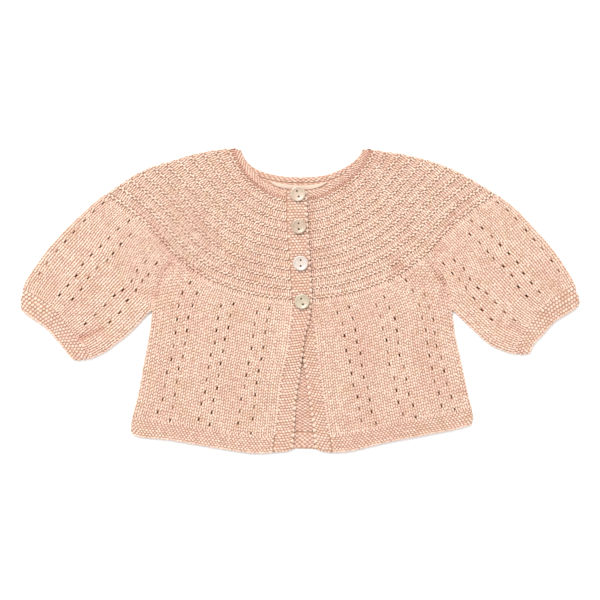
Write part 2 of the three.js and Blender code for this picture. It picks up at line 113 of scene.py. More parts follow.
# Seam lines, folds and edges of each half, each a run of points x, y
RIGHT = {
    "neck_edge": [(-10.9, 89.6), (-21.2, 92.8), (-29.9, 98), (-39, 107), (-45.8, 115.7), (-48.8, 124.2)],
    "neck_seam": [(-10.7, 84.6), (-23.3, 88.3), (-33.3, 94.4), (-43, 104), (-50, 114.5), (-54, 125.2)],
    "shoulder_fold": [
        (-54, 125.2), (-61.1, 125), (-85.7, 121), (-105.4, 115.2), (-122.6, 109.9), (-132.4, 105.4),
        (-148.8, 95.5), (-163.6, 84.9),
    ],
    "band_seam_yoke": [(-10.7, 84.6), (-10.5, 57), (-8.3, 32), (-5.9, -3)],
    "band_seam_front": [
        (-5.9, -3), (-6.6, -10), (-9.1, -34), (-11.2, -46.3), (-14.3, -59), (-16.5, -72.6),
        (-18, -89), (-20.4, -110.6),
    ],
    "band_seam_hem": [(-20.4, -110.6), (-22.2, -124.8)],
    "yoke_to_front": [(-5.9, -3), (-32.4, 0), (-58.6, 7), (-82.4, 17.3), (-105, 34.5)],
    "yoke_to_sleeve": [(-105, 34.5), (-125.9, 57), (-141.8, 70.7), (-163.6, 84.9)],
    "underarm": [(-105, 34.5), (-114.5, 21), (-119.3, 8), (-121.5, -8.6)],
    "side": [(-121.5, -8.6), (-124.2, -27.5), (-128.3, -49.6), (-133.3, -76.7), (-138, -95)],
    "hem_side": [(-138, -95), (-139.8, -102), (-139.6, -108)],
    "hem_top": [
        (-20.4, -110.6), (-30.8, -111.3), (-42.2, -110.9), (-74, -106.1), (-97, -102), (-110, -100),
        (-131, -97), (-138, -95),
    ],
    "hem_edge": [
        (-22.2, -124.8), (-30.8, -125.5), (-42.2, -125), (-74.2, -120.1), (-97.2, -116),
        (-110.3, -114), (-133.3, -111.5), (-139.6, -108),
    ],
    "sleeve_fold": [
        (-163.6, 84.9), (-174.3, 75.9), (-184.9, 66), (-194.8, 56.2), (-203.8, 46.3), (-212, 36.5),
        (-218.5, 26.7), (-225.1, 16.8), (-227.9, 9.9),
    ],
    "sleeve_under": [
        (-121.5, -8.6), (-125.9, -12.7), (-134.9, -22.6), (-145.6, -32.4), (-152.1, -37.3),
        (-158.7, -42.2), (-167.7, -46.8), (-171.2, -48.1),
    ],
    "cuff_seam": [(-227.9, 9.9), (-214, 2.5), (-201.6, -7.3), (-184.3, -29.1), (-171.2, -48.1)],
    "cuff_fold": [(-227.9, 9.9), (-230, 2), (-230, -6.5)],
    "cuff_under": [(-171.2, -48.1), (-176.7, -49.6), (-183.3, -49.8)],
    "cuff_edge": [
        (-230, -6.5), (-223.5, -12.2), (-208.7, -22.6), (-203.8, -27.5), (-195.6, -37.3),
        (-187.4, -47.2), (-183.3, -49.8),
    ],
}
LEFT = {
    "neck_edge": [
        (4.1, 89.2), (13.9, 90.6), (23.4, 95.3), (32.8, 100.9), (40, 106.6), (46.8, 114), (51.6, 124.4),
    ],
    "neck_seam": [
        (3.9, 84.4), (14.5, 85.9), (25, 90.5), (34.5, 96.3), (43.8, 103.8), (51.2, 112.5), (57, 124.6),
    ],
    "shoulder_fold": [
        (57, 124.6), (66, 123.4), (87.3, 120.1), (106.2, 115.2), (121, 110.3), (131.6, 105.4),
        (148.8, 95.5), (164.4, 85.3),
    ],
    "band_seam_yoke": [(3.9, 84.4), (5.2, 57), (7, 28), (8.8, -2.5)],
    "band_seam_front": [
        (8.8, -2.5), (10.2, -12), (12.4, -25), (14.8, -46.3), (18, -70), (21.3, -92), (24.2, -110.5),
    ],
    "band_seam_hem": [(24.2, -110.5), (26.6, -125)],
    "yoke_to_front": [(8.8, -2.5), (36.5, 1.2), (58.6, 7.6), (82, 17.3), (104.5, 33.5)],
    "yoke_to_sleeve": [(104.5, 33.5), (125.9, 57), (142.4, 70.7), (164.4, 85.3)],
    "underarm": [(104.5, 33.5), (115, 20.5), (121.7, 7), (125.2, -8.8)],
    "side": [(125.2, -8.8), (127.5, -27.5), (130.8, -42.2), (134.1, -57), (138.2, -76.7), (141.2, -88)],
    "hem_side": [(141.2, -88), (142.9, -96), (141.5, -101.8)],
    "hem_top": [
        (24.2, -110.5), (37.3, -110.2), (49.6, -107.8), (73.4, -102.2), (98.8, -97.1), (125, -92),
        (141.2, -88),
    ],
    "hem_edge": [
        (26.6, -125), (37.3, -124.2), (49.6, -121.8), (73.4, -116), (98.8, -111.1), (125, -106.2),
        (141.5, -101.8),
    ],
    "sleeve_fold": [
        (164.4, 85.3), (176.7, 75.9), (186.6, 66), (195.6, 56.2), (204.6, 46.3), (212, 36.5),
        (218.5, 26.7), (224.3, 16.8), (226.2, 13),
    ],
    "sleeve_under": [
        (125.2, -8.8), (129.2, -12.7), (144.7, -27.5), (156.2, -37.3), (168.5, -42.6), (174.5, -44.3),
    ],
    "cuff_seam": [(226.2, 13), (213, 5.5), (200.8, -4), (184, -25.5), (174.5, -44.3)],
    "cuff_fold": [(226.2, 13), (228, 7), (230, 2), (229.4, -3.4)],
    "cuff_under": [(174.5, -44.3), (180, -45.4), (186.6, -44.9)],
    "cuff_edge": [
        (229.4, -3.4), (224.3, -7.8), (208.7, -17.6), (199.7, -27.5), (190.7, -37.3), (188.9, -42.2),
        (186.6, -44.9),
    ],
}
BACK_LINES = {
    "neck_edge": [
        (-48.8, 124.2), (-45, 115.7), (-36.2, 107.8), (-20.6, 102.8), (0.4, 100.9), (20.1, 102.5),
        (29.1, 105.4), (39, 110.3), (45.5, 115.2), (50.2, 120.6), (51.6, 124.4),
    ],
    "neck_seam": [
        (-54, 125.2), (-49.8, 113.5), (-39.5, 103.8), (-21.9, 98), (0.4, 95.9), (21.3, 97.6),
        (31.3, 100.9), (41.8, 106.3), (50.5, 112.8), (57, 124.6),
    ],
    "hem_top": [
        (-138, -95), (-110, -99.5), (-74, -105), (-42, -109), (0, -108.5), (37, -109), (73, -101.7),
        (125, -91.7), (141.2, -88),
    ],
    "hem_edge": [
        (-139.6, -108), (-133.3, -110.8), (-110, -113.2), (-74.2, -119.3), (-42.2, -123), (0, -121.6),
        (37.3, -122.8), (73.4, -115.3), (98.8, -110.5), (125, -105.6), (141.5, -101.8),
    ],
}
BAND_LINES = {
    "buttonhole_free": [
        (5, 90), (6.4, 57.8), (7.8, 32.4), (9.4, -0.4), (7.5, -15.2), (2.9, -34), (1.6, -46.3),
        (-1.2, -66), (-3.7, -82.4), (-4.7, -102), (-6, -122.2),
    ],
    "buttonhole_top": [(-10.9, 89.6), (-3, 90.3), (5, 90)],
    "buttonhole_foot": [(-22.2, -124.8), (-11.1, -124), (-6, -122.2)],
    "button_free": [
        (-9.4, 89), (-8.3, 57), (-6.8, 32), (-5, -2.5), (-2.6, -20), (2.3, -43), (3.5, -50.4),
        (7.2, -75), (10.6, -100), (13, -122.4),
    ],
    "button_top": [(-9.4, 89), (4.1, 89.2)],
    "button_foot": [(13, -122.4), (20, -124.4), (26.6, -125)],
}

# Edges of the neck tape, inside the back neck
TAPE_UPPER = [(-24, 97.6), (-18, 96), (0.4, 94.2), (14, 95.2), (22, 97.2)]
TAPE_LOWER = [(-24, 96.4), (-19, 93.3), (-10, 91.2), (0.4, 90.6), (8, 90.8), (16, 92.8), (22, 96.1)]

# Eyelets of each front, column by column: shares across and along of the first, middle and last, how many
RIGHT_FRONT_EYELETS = [
    ((0.790, 0.052), (0.800, 0.503), (0.828, 0.938), 11),
    ((0.703, 0.092), (0.723, 0.540), (0.740, 0.980), 11),
    ((0.503, 0.118), (0.520, 0.526), (0.542, 0.935), 10),
    ((0.427, 0.068), (0.443, 0.520), (0.460, 0.973), 11),
    ((0.245, 0.100), (0.254, 0.515), (0.263, 0.930), 10),
    ((0.173, 0.060), (0.174, 0.519), (0.175, 0.978), 11),
]
LEFT_FRONT_EYELETS = [
    ((0.192, 0.105), (0.215, 0.518), (0.240, 0.932), 10),
    ((0.275, 0.072), (0.300, 0.523), (0.323, 0.975), 11),
    ((0.470, 0.120), (0.494, 0.531), (0.517, 0.943), 10),
    ((0.555, 0.072), (0.580, 0.527), (0.603, 0.983), 11),
    ((0.765, 0.043), (0.780, 0.494), (0.797, 0.945), 11),
    ((0.828, 0.190), (0.855, 0.588), (0.883, 0.985), 10),
]
SLEEVE_EYELETS = [
    ((0.085, 0.033), (0.077, 0.430), (0.077, 0.828), 8),
    ((0.393, 0.045), (0.320, 0.469), (0.333, 0.893), 9),
    ((0.510, 0.110), (0.427, 0.471), (0.440, 0.833), 8),
    ((0.785, 0.175), (0.695, 0.526), (0.695, 0.878), 8),
    ((0.905, 0.115), (0.800, 0.414), (0.810, 0.713), 7),
]


# Lines and panels

def smooth(points, steps=24):
    """A centripetal curve through the points."""
    knots = np.array(points, float)
    share = np.linspace(0, 1, steps, endpoint=False)[:, None]
    if len(knots) == 2:
        return np.vstack([knots[0] + (knots[1] - knots[0]) * share, knots[1]])
    knots = np.vstack([2 * knots[0] - knots[1], knots, 2 * knots[-1] - knots[-2]])
    runs = []
    for a, b, c, d in zip(knots, knots[1:], knots[2:], knots[3:]):
        ab, bc, cd = (np.hypot(*(far - near)) ** 0.5 for near, far in ((a, b), (b, c), (c, d)))
        leave = ((b - a) / ab - (c - a) / (ab + bc) + (c - b) / bc) * bc
        reach = ((c - b) / bc - (d - b) / (bc + cd) + (d - c) / cd) * bc
        bend = (-3 * b + 3 * c - 2 * leave - reach) * share ** 2
        runs.append(b + leave * share + bend + (2 * b - 2 * c + leave + reach) * share ** 3)
    return np.vstack([*runs, knots[-2]])


class Line:
    """A seam, fold or edge through one or more runs of points, read by its share of the length."""

    def __init__(self, *runs):
        self.spots = np.vstack([smooth(run) for run in runs])
        self.share = np.append(0, np.cumsum(np.hypot(*np.diff(self.spots, axis=0).T)))
        self.share /= self.share[-1]

    def at(self, share):
        """The point at a share of the line's length."""
        return np.stack([np.interp(share, self.share, self.spots[:, axis]) for axis in (0, 1)], -1)


class Panel:
    """A cut of cloth between four lines. Head and foot run from its start side to its end side."""

    def __init__(self, head, foot, start, end):
        self.head, self.foot, self.start, self.end = head, foot, start, end
        self.corners = [line.at(share) for line in (head, foot) for share in (0.0, 1.0)]

    def spot(self, across, along):
        """The point at shares across and along, on a surface stretched between the four lines."""
        head, foot = self.head.at(across), self.foot.at(across)
        start, end = self.start.at(along), self.end.at(along)
        far, low = across[..., None], along[..., None]
        near, high = 1 - far, 1 - low
        near_head, far_head, near_foot, far_foot = self.corners
        corners = (near_head * near + far_head * far) * high + (near_foot * near + far_foot * far) * low
        return head * high + foot * low + start * near + end * far - corners


# Heights over the surface the cardigan lies on

def ease(value, low, high):
    """0 up to low, 1 from high, and a smooth rise between them."""
    share = np.clip((value - low) / (high - low), 0, 1)
    return share * share * (3 - 2 * share)


def folds_at(folds, x, y):
    """Height of soft folds, each a little uneven along its length."""
    total = np.zeros_like(x)
    for number, (x0, y0, x1, y1, half_width, height) in enumerate(folds):
        dx, dy = x1 - x0, y1 - y0
        along = np.clip(((x - x0) * dx + (y - y0) * dy) / (dx * dx + dy * dy), 0, 1)
        away = np.hypot(x - x0 - along * dx, y - y0 - along * dy) / half_width
        swell = 0.82 + 0.18 * np.sin(7 * along + 2.4 * number)
        total += height * swell * np.exp(-away * away)
    return total


def lap_height(y):
    """How far the right front is raised by the button band under it."""
    return LAYER * ease(y, LAP_FOOT_Y, LAP_TOP_Y)


# The seam between the right front, with its yoke, and the buttonhole band, from neck to hem
BAND_SEAM = np.array([*RIGHT["band_seam_yoke"], *RIGHT["band_seam_front"][1:], RIGHT["band_seam_hem"][1]])


def soft(x, y):
    """Height of the folds and creases together."""
    return folds_at(SOFT_FOLDS, x, y) + folds_at(CREASES, x, y)


def rise(x, y):
    """How far the front layer is raised: its folds, and on the right the lap over the button band."""
    seam = np.interp(y, BAND_SEAM[::-1, 1], BAND_SEAM[::-1, 0])
    lap = np.where(x > 0, 0, lap_height(y) * ease(x, seam - LAP_RAMP, seam))
    return soft(x, y) + lap


def band_rise(x, y):
    """The same for the buttonhole band, which lies on the button band over its whole width."""
    return soft(x, y) + lap_height(y)


# Cloth: a panel on one layer, wrapped round the folds at its sides

BEND = FOLD - YARN_DEPTH  # radius at which the yarn goes round a fold
QUARTER = math.pi / 2 * BEND
TAKE_UP = FOLD - QUARTER  # a fold takes up this much less cloth than the flat panel is wide


def no_dip(along):
    return np.zeros_like(along)


class Cloth:
    """A panel on the front or back layer. folds says whether it bends round at its start and end side,
    lift raises the front layer over what it lies on, and dip sinks its face between ridges."""

    def __init__(self, panel, layer=FRONT, folds=(False, True), lift=rise, dip=no_dip):
        self.panel = panel
        self.layer = layer
        self.folds = folds
        self.lift = lift
        self.dip = dip

    def width(self, along):
        """Width of the cloth at a share of its length, round its folds."""
        along = np.asarray(along, float)
        ends = self.panel.spot(np.ones_like(along), along) - self.panel.spot(np.zeros_like(along), along)
        return np.hypot(ends[..., 0], ends[..., 1]) - TAKE_UP * sum(self.folds)

    def points(self, across, along, depth):
        """Points at shares across and along the cloth, at a depth below its outer face."""
        across, along, depth = np.broadcast_arrays(*(np.asarray(a, float) for a in (across, along, depth)))
        width = self.width(along)
        flat_width = width + TAKE_UP * sum(self.folds)
        reach = FOLD - depth - self.dip(along)
        run = across * width
        back_run = width - run
        place = run + TAKE_UP * self.folds[0]
        angle = np.full_like(run, math.pi / 2)
        for folded, near, sign in ((self.folds[0], run, 1), (self.folds[1], back_run, -1)):
            if folded:
                turn = near / BEND
                inside = near < QUARTER
                edge = FOLD - reach * np.cos(turn)
                place = np.where(inside, edge if sign > 0 else flat_width - edge, place)
                angle = np.where(inside, turn, angle)
        spot = self.panel.spot(place / flat_width, along)
        lift = self.lift(spot[..., 0], spot[..., 1]) if self.layer == FRONT else 0
        height = FOLD + self.layer * np.sin(angle) * (reach + lift)
        return np.concatenate([spot, height[..., None]], -1)

    def frames(self, across, along, depth, step=0.004):
        """Points, with the vectors of one whole share across and towards the head, and the outward normal."""
        right = self.points(across + step, along, depth) - self.points(across - step, along, depth)
        up = self.points(across, along - step, depth) - self.points(across, along + step, depth)
        out = np.cross(right, up)
        outward = self.points(across, along, depth - 0.2) - self.points(across, along, depth + 0.2)
        out *= np.sign((out * outward).sum(-1))[..., None]
        out /= np.linalg.norm(out, axis=-1)[..., None]
        return self.points(across, along, depth), right / (2 * step), up / (2 * step), out


# Beads of yarn: each is one arm or one head of a stitch

class Beads:
    """Places, turns and sizes of the yarn of one piece."""

    def __init__(self, name, seed):
        self.name = name
        self.random = np.random.default_rng(seed)
        self.spots, self.turns, self.sizes, self.painted_shade = [], [], [], []

    def add(self, frames, shift, angle, tilt, size, painted_shade=0.0):
        """shift is right, up and out, angle is from up towards the right, and tilt lifts the head end. size
        is girth, length and depth. The last argument is painted shade, 0 for yarn on a crest and 1 or more
        for yarn down in a groove: the material paints that yarn darker and more pink."""
        spot, right, up, out = frames
        right = right / np.linalg.norm(right, axis=-1)[:, None]
        up = up - (up * right).sum(-1)[:, None] * right * 0.5
        up = up / np.linalg.norm(up, axis=-1)[:, None]
        count = len(spot)
        shift = np.stack(np.broadcast_arrays(*shift, np.zeros(count))[:3], -1)
        shift = shift + self.random.normal(0, 0.1, (count, 3))
        angle = np.radians(angle + self.random.normal(0, 7, count))[:, None]
        tilt = np.radians(tilt + self.random.normal(0, 3, count))[:, None]
        along = np.cos(tilt) * (np.cos(angle) * up + np.sin(angle) * right) + np.sin(tilt) * out
        along /= np.linalg.norm(along, axis=-1)[:, None]
        side = np.cross(along, out)
        side /= np.linalg.norm(side, axis=-1)[:, None]
        crown = np.cross(side, along)
        turn = [np.arctan2(along[:, 2], crown[:, 2]), -np.arcsin(np.clip(side[:, 2], -1, 1)),
                np.arctan2(side[:, 1], side[:, 0])]
        spot = spot + shift[:, :1] * right + shift[:, 1:2] * up + shift[:, 2:] * out
        spot[:, 2] = np.maximum(spot[:, 2], UNDERSIDE)
        self.spots.append(spot)
        self.turns.append(np.stack(turn, -1))
        self.sizes.append(np.stack(np.broadcast_arrays(*size, np.zeros(count))[:3], -1))
        # Yarn in the trough of a crease gets painted shade too
        crease_shade = np.clip(-folds_at(CREASES, spot[:, 0], spot[:, 1]), 0, 1)
        self.painted_shade.append(painted_shade + 0.5 * crease_shade)


def every_row(row):
    return True


def lattice(rows, count_of_row, chosen=every_row):
    """Shares across and along of every stitch of the chosen rows, with its width and height as shares."""
    across, along, width, height, number = [], [], [], [], []
    for row, (top, foot) in enumerate(zip(rows, rows[1:])):
        if chosen(row):
            middle = (top + foot) / 2
            count = count_of_row(middle)
            across.append((np.arange(count) + 0.5) / count)
            along.append(np.full(count, middle))
            width.append(np.full(count, 1 / count))
            height.append(np.full(count, foot - top))
            number.append(np.full(count, row))
    return tuple(np.concatenate(part) for part in (across, along, width, height, number))


def arm_cell(frames, width, height):
    """Width of each stitch square to its column, and its height along it, in mm."""
    area = np.linalg.norm(np.cross(frames[1], frames[2]), axis=-1)
    tall = np.linalg.norm(frames[2], axis=-1)
    return area / tall * width, tall * height


def row_cell(frames, width, height):
    """Width of each stitch along its row, and its height square to it, in mm."""
    area = np.linalg.norm(np.cross(frames[1], frames[2]), axis=-1)
    wide = np.linalg.norm(frames[1], axis=-1)
    return wide * width, area / wide * height


def eyelet_cells(columns, count, rows, seed):
    """Half-stitch columns and rows of the eyelets, nearest to where they were seen, and how far each is
    drawn in: some stand open and some have almost closed."""
    random = np.random.default_rng(seed)
    cells = {}
    for first, middle, last, holes in columns:
        step = np.linspace(0, 1, holes)
        across = np.interp(step, (0, 0.5, 1), (first[0], middle[0], last[0]))
        along = np.interp(step, (0, 0.5, 1), (first[1], middle[1], last[1]))
        half = np.clip((across * 2 * count).astype(int), 1, 2 * count - 2)
        row = np.clip((along * rows).astype(int), 0, rows - 1)
        drawn_in = 0.12 + 0.26 * random.random(holes) ** 1.5
        cells.update(zip(zip(half.tolist(), row.tolist()), drawn_in.tolist()))
    return cells


def knit(beads, cloth, rows, count_of_row, eyelets=(), lean=17, girth=0.47, length=1.3, bias=0.14,
         chosen=every_row, painted_shade=0.0):
    """Stockinette: two leaning arms to each stitch, one a little higher, drawn aside round an eyelet."""
    across, along, width, height, number = lattice(rows, count_of_row, chosen)
    stitch = np.floor(across / width).astype(int)
    for side in (-1, 1):
        half = 2 * stitch + (side > 0)
        cells = list(zip(half.tolist(), number.tolist()))
        keep = np.array([cell not in eyelets for cell in cells])
        below = np.array([(h, r - 1) in eyelets for h, r in cells]) * 1.0
        above = np.array([(h, r + 1) in eyelets for h, r in cells]) * 1.0
        inward = np.array([1.0 * ((h + 1, r) in eyelets) - ((h - 1, r) in eyelets) for h, r in cells])
        frames = cloth.frames(across + side * 0.25 * width, along, YARN_DEPTH)
        wide, tall = arm_cell(frames, width, height)
        short = 1 - 0.2 * np.maximum(above, below)
        shift = (inward * 0.1 * wide, ((above - below) * 0.12 + side * bias) * tall, 0.0)
        size = (girth * wide, length * tall * short, np.full_like(wide, 1.75))
        angle = side * lean * (1 - np.abs(inward)) - inward * 6
        frames = tuple(part[keep] for part in frames)
        shift = tuple(np.broadcast_to(part, keep.shape)[keep] for part in shift)
        size = tuple(part[keep] for part in size)
        beads.add(frames, shift, angle[keep], 10, size, painted_shade)


def ridge(beads, cloth, rows, count_of_row, chosen=every_row, slant=32):
    """A purled row raised on the face: two short beads to each stitch."""
    across, along, width, height, _ = lattice(rows, count_of_row, chosen)
    for skew, lift, depth in ((0.0, 0.16, -0.35), (0.5, -0.16, -0.25)):
        share = across + skew * width
        shown = share < 1
        frames = tuple(part[shown] for part in cloth.frames(share, along, YARN_DEPTH + depth))
        wide, tall = row_cell(frames, width[shown], height[shown])
        size = (0.66 * tall, 0.72 * wide, np.full_like(wide, 1.8))
        beads.add(frames, (0.0, lift * tall, 0.0), 90 + slant, 0, size)


def garter(beads, cloth, edges, count_of_row, slant=26, girth=0.55, length=1.0):
    """Garter ridges: a raised head bead on each stitch, and a lower foot bead between two."""
    across, along, width, height, _ = lattice(edges, count_of_row)
    for skew, drop, depth in ((0.0, -0.12, -0.05), (0.5, 0.38, 0.05)):
        share = across + skew * width
        shown = share < 1
        low = along + drop * height
        frames = tuple(part[shown] for part in cloth.frames(share, low, YARN_DEPTH + depth))
        wide, tall = row_cell(frames, width[shown], height[shown])
        size = (girth * tall, length * wide, np.full_like(wide, 1.8))
        lean = slant * np.sign(frames[1][:, 0])
        # The lower foot beads get more painted shade than the heads
        beads.add(frames, (0.0, 0.0, 0.0), 90 + lean, 0, size, 0.05 + 0.3 * skew)


def purl(beads, cloth, rows, count_of_row, keep_inside):
    """The inner face of stockinette, seen where the cardigan is open: beads brick by brick."""
    across, along, width, height, _ = lattice(rows, count_of_row)
    for skew in (0.0, 0.5):
        shares, lengths = across + skew * width, along + skew * height
        frames = cloth.frames(shares, lengths, INNER_YARN_DEPTH)
        shown = keep_inside(frames[0][:, 0], frames[0][:, 1]) & (shares < 1) & (lengths < 1)
        spot, right, up, out = (part[shown] for part in frames)
        wide, tall = row_cell((spot, right, up), width[shown], height[shown])
        size = (0.6 * tall, 0.9 * wide, np.full_like(wide, 1.6))
        # The inner face, lower in the cardigan, gets painted shade
        beads.add((spot, right, up, -out), (0.0, 0.0, 0.0), 98, 0, size, 0.3)


def seam_stitches(beads, line, height, reach=4.2, pitch=1.9):
    """Sewing that draws two folded edges together: rungs of yarn across the join."""
    count = int(np.hypot(*np.diff(line.spots, axis=0).T).sum() / pitch)
    shares = (np.arange(count) + 0.5) / count
    along = np.column_stack([line.at(shares + 0.002) - line.at(shares - 0.002), np.zeros(count)])
    out = np.tile((0.0, 0.0, float(np.sign(height - FOLD))), (count, 1))
    spot = np.column_stack([line.at(shares), np.full(count, height)])
    size = (np.full(count, 1.8), reach, 1.7)
    # The rungs, down in the join, get painted shade
    beads.add((spot, np.cross(along, out), along, out), (0.0, 0.0, 0.0), 80, 0, size, 0.3)


def join_row(beads, line, pitch=1.85, reach=2.7, girth=0.78, low=0.0, painted_shade=0.3):
    """Stitches picked up along a seam on the face: they bridge the join between two pieces."""
    count = int(np.hypot(*np.diff(line.spots, axis=0).T).sum() / pitch)
    shares = (np.arange(count) + 0.5) / count
    spot = line.at(shares)
    along = np.column_stack([line.at(shares + 0.002) - line.at(shares - 0.002), np.zeros(count)])
    out = np.tile((0.0, 0.0, 1.0), (count, 1))
    height = 2 * FOLD - YARN_DEPTH - low + rise(spot[:, 0], spot[:, 1])
    frames = np.column_stack([spot, height]), np.cross(along, out), along, out
    # The yarn in the join gets painted shade
    beads.add(frames, (0.0, 0.0, 0.0), 82, 0, (np.full(count, girth * pitch), reach, 1.6), painted_shade)


def foot_chain(beads, cloth, along):
    """A chain of beads along the foot of the cloth, from side to side."""
    count = max(2, int(cloth.width(along) / STITCH))
    shares = (np.arange(count) + 0.5) / count
    frames = cloth.frames(shares, np.full(count, along), YARN_DEPTH + 0.3)
    wide = np.linalg.norm(frames[1], axis=-1) / count
    beads.add(frames, (0.0, 0.0, 0.0), 90, 0, (1.6, 1.2 * wide, np.full_like(wide, 1.8)))


def side_chain(beads, cloth, across, count, depth):
    """A chain of beads down a side of the cloth, from head to foot."""
    shares = (np.arange(count) + 0.5) / count
    frames = cloth.frames(np.full(count, across), shares, depth)
    tall = np.linalg.norm(frames[2], axis=-1) / count
    beads.add(frames, (0.0, 0.0, 0.0), 0, 0, (1.6, 0.95 * tall, np.full_like(tall, 1.7)))


# Materials

def linear(hex_colour):
    """A colour given as seen on screen, as the light it stands for."""
    parts = [int(hex_colour[n:n + 2], 16) / 255 for n in (0, 2, 4)]
    return (*(c / 12.92 if c <= 0.04045 else ((c + 0.055) / 1.055) ** 2.4 for c in parts), 1.0)


def add_node(tree, kind, settings=None, values=None, links=None):
    """Adds a node with its settings, the values on its sockets and the links into them."""
    node = tree.nodes.new(kind)
    for name, value in (settings or {}).items():
        setattr(node, name, value)
    for socket, value in (values or {}).items():
        node.inputs[socket].default_value = value
    for socket, source in (links or {}).items():
        tree.links.new(source, node.inputs[socket])
    return node


def new_material(name):
    """An empty material and its tree of nodes."""
    material = bpy.data.materials.new(name)
    material.use_nodes = True
    material.node_tree.nodes.clear()
    return material, material.node_tree


def set_ramp(node, stops):
    """Colour stops of a ramp: place, colour."""
    elements = node.color_ramp.elements
    while len(elements) < len(stops):
        elements.new(0.5)
    for element, (place, colour) in zip(elements, stops):
        element.position = place
        element.color = linear(colour)


# Patches of uneven dye: scale, where a patch begins and where it is full, how strong it is, and its colour
DYE_PATCHES = [
    (26.0, 0.46, 0.66, 0.22, "f6dfdd"),
    (110.0, 0.5, 0.68, 0.28, "f4dfe2"),
    (85.0, 0.5, 0.7, 0.4, "f1eed6"),
]


def wool_yarn(name, painted_shade_colour, ground, crown):
    """Soft lamb's-wool yarn dyed salmon. Each arm has a painted highlight on top and browner painted shade
    down its sides, yarn in a groove has painted shade that makes it darker and more pink, and the dye has
    taken unevenly in pink patches and smaller straw-coloured ones."""
    material, tree = new_material(name)
    place = add_node(tree, "ShaderNodeTexCoord")
    height = add_node(tree, "ShaderNodeAttribute", {"attribute_name": "crown"})
    tone = add_node(tree, "ShaderNodeAttribute", {"attribute_name": "tone"})
    painted_shade = add_node(tree, "ShaderNodeAttribute", {"attribute_name": "painted_shade"})
    flecks = add_node(tree, "ShaderNodeTexNoise", values={"Scale": 420.0, "Detail": 2.0, "Roughness": 0.5},
                      links={"Vector": place.outputs["Object"]})
    uneven = add_node(tree, "ShaderNodeMath", {"operation": "MULTIPLY_ADD"}, {1: 0.22, 2: -0.11},
                      {0: tone.outputs["Fac"]})
    flecked = add_node(tree, "ShaderNodeMath", {"operation": "MULTIPLY_ADD"}, {1: 0.24},
                       {0: flecks.outputs["Fac"], 2: uneven.outputs[0]})
    # Higher on the bead is paler: a painted highlight on top and painted shade down the sides
    raised = add_node(tree, "ShaderNodeMath", {"operation": "MULTIPLY_ADD"}, {1: 0.5},
                      {0: height.outputs["Fac"], 2: flecked.outputs[0]})
    # Yarn in a groove or crease is darker: painted shade
    painted_groove_shade = add_node(tree, "ShaderNodeMath", {"operation": "MULTIPLY_ADD"}, {1: -0.2},
                       {0: painted_shade.outputs["Fac"], 2: raised.outputs[0]})
    lifted = add_node(tree, "ShaderNodeMath", {"operation": "ADD"}, {1: 0.36}, {0: painted_groove_shade.outputs[0]})
    # The ramp runs from painted shade through the yarn's own colour to a painted highlight
    shade = add_node(tree, "ShaderNodeValToRGB", links={"Fac": lifted.outputs[0]})
    set_ramp(shade, [(0.05, painted_shade_colour), (0.52, ground), (0.98, crown)])
    colour = shade.outputs["Color"]
    for scale, low, high, most, patch in DYE_PATCHES:
        cloud = add_node(tree, "ShaderNodeTexNoise", values={"Scale": scale, "Detail": 2.0, "Roughness": 0.6},
                         links={"Vector": place.outputs["Object"]})
        share = add_node(tree, "ShaderNodeMapRange", values={1: low, 2: high, 3: 0.0, 4: most},
                         links={0: cloud.outputs["Fac"]})
        dyed = add_node(tree, "ShaderNodeMix", {"data_type": "RGBA", "blend_type": "MULTIPLY"},
                        {7: linear(patch)}, {0: share.outputs[0], 6: colour})
        colour = dyed.outputs[2]
    # Yarn in a groove or crease is also more pink: painted shade
    groove = add_node(tree, "ShaderNodeMath", {"operation": "MULTIPLY"}, {1: 0.8}, {0: painted_shade.outputs["Fac"]})
    painted_groove_tint = add_node(tree, "ShaderNodeMix", {"data_type": "RGBA", "blend_type": "MULTIPLY"},
                      {7: linear("f7dcd8")}, {0: groove.outputs[0], 6: colour})
    ply = add_node(tree, "ShaderNodeTexWave", {"bands_direction": "DIAGONAL"},
                   {"Scale": 260.0, "Distortion": 3.0, "Detail": 1.0}, {"Vector": place.outputs["Object"]})
    bump = add_node(tree, "ShaderNodeBump", values={"Strength": 0.35, "Distance": 0.00025},
                    links={"Height": ply.outputs["Fac"]})
    surface = add_node(tree, "ShaderNodeBsdfPrincipled",
                       values={"Roughness": 0.88, "IOR": 1.54, "Sheen Weight": 0.25, "Sheen Roughness": 0.45,
                               "Specular IOR Level": 0.25},
                       links={"Base Color": painted_groove_tint.outputs[2], "Normal": bump.outputs[0]})
    add_node(tree, "ShaderNodeOutputMaterial", links={"Surface": surface.outputs[0]})
    return material


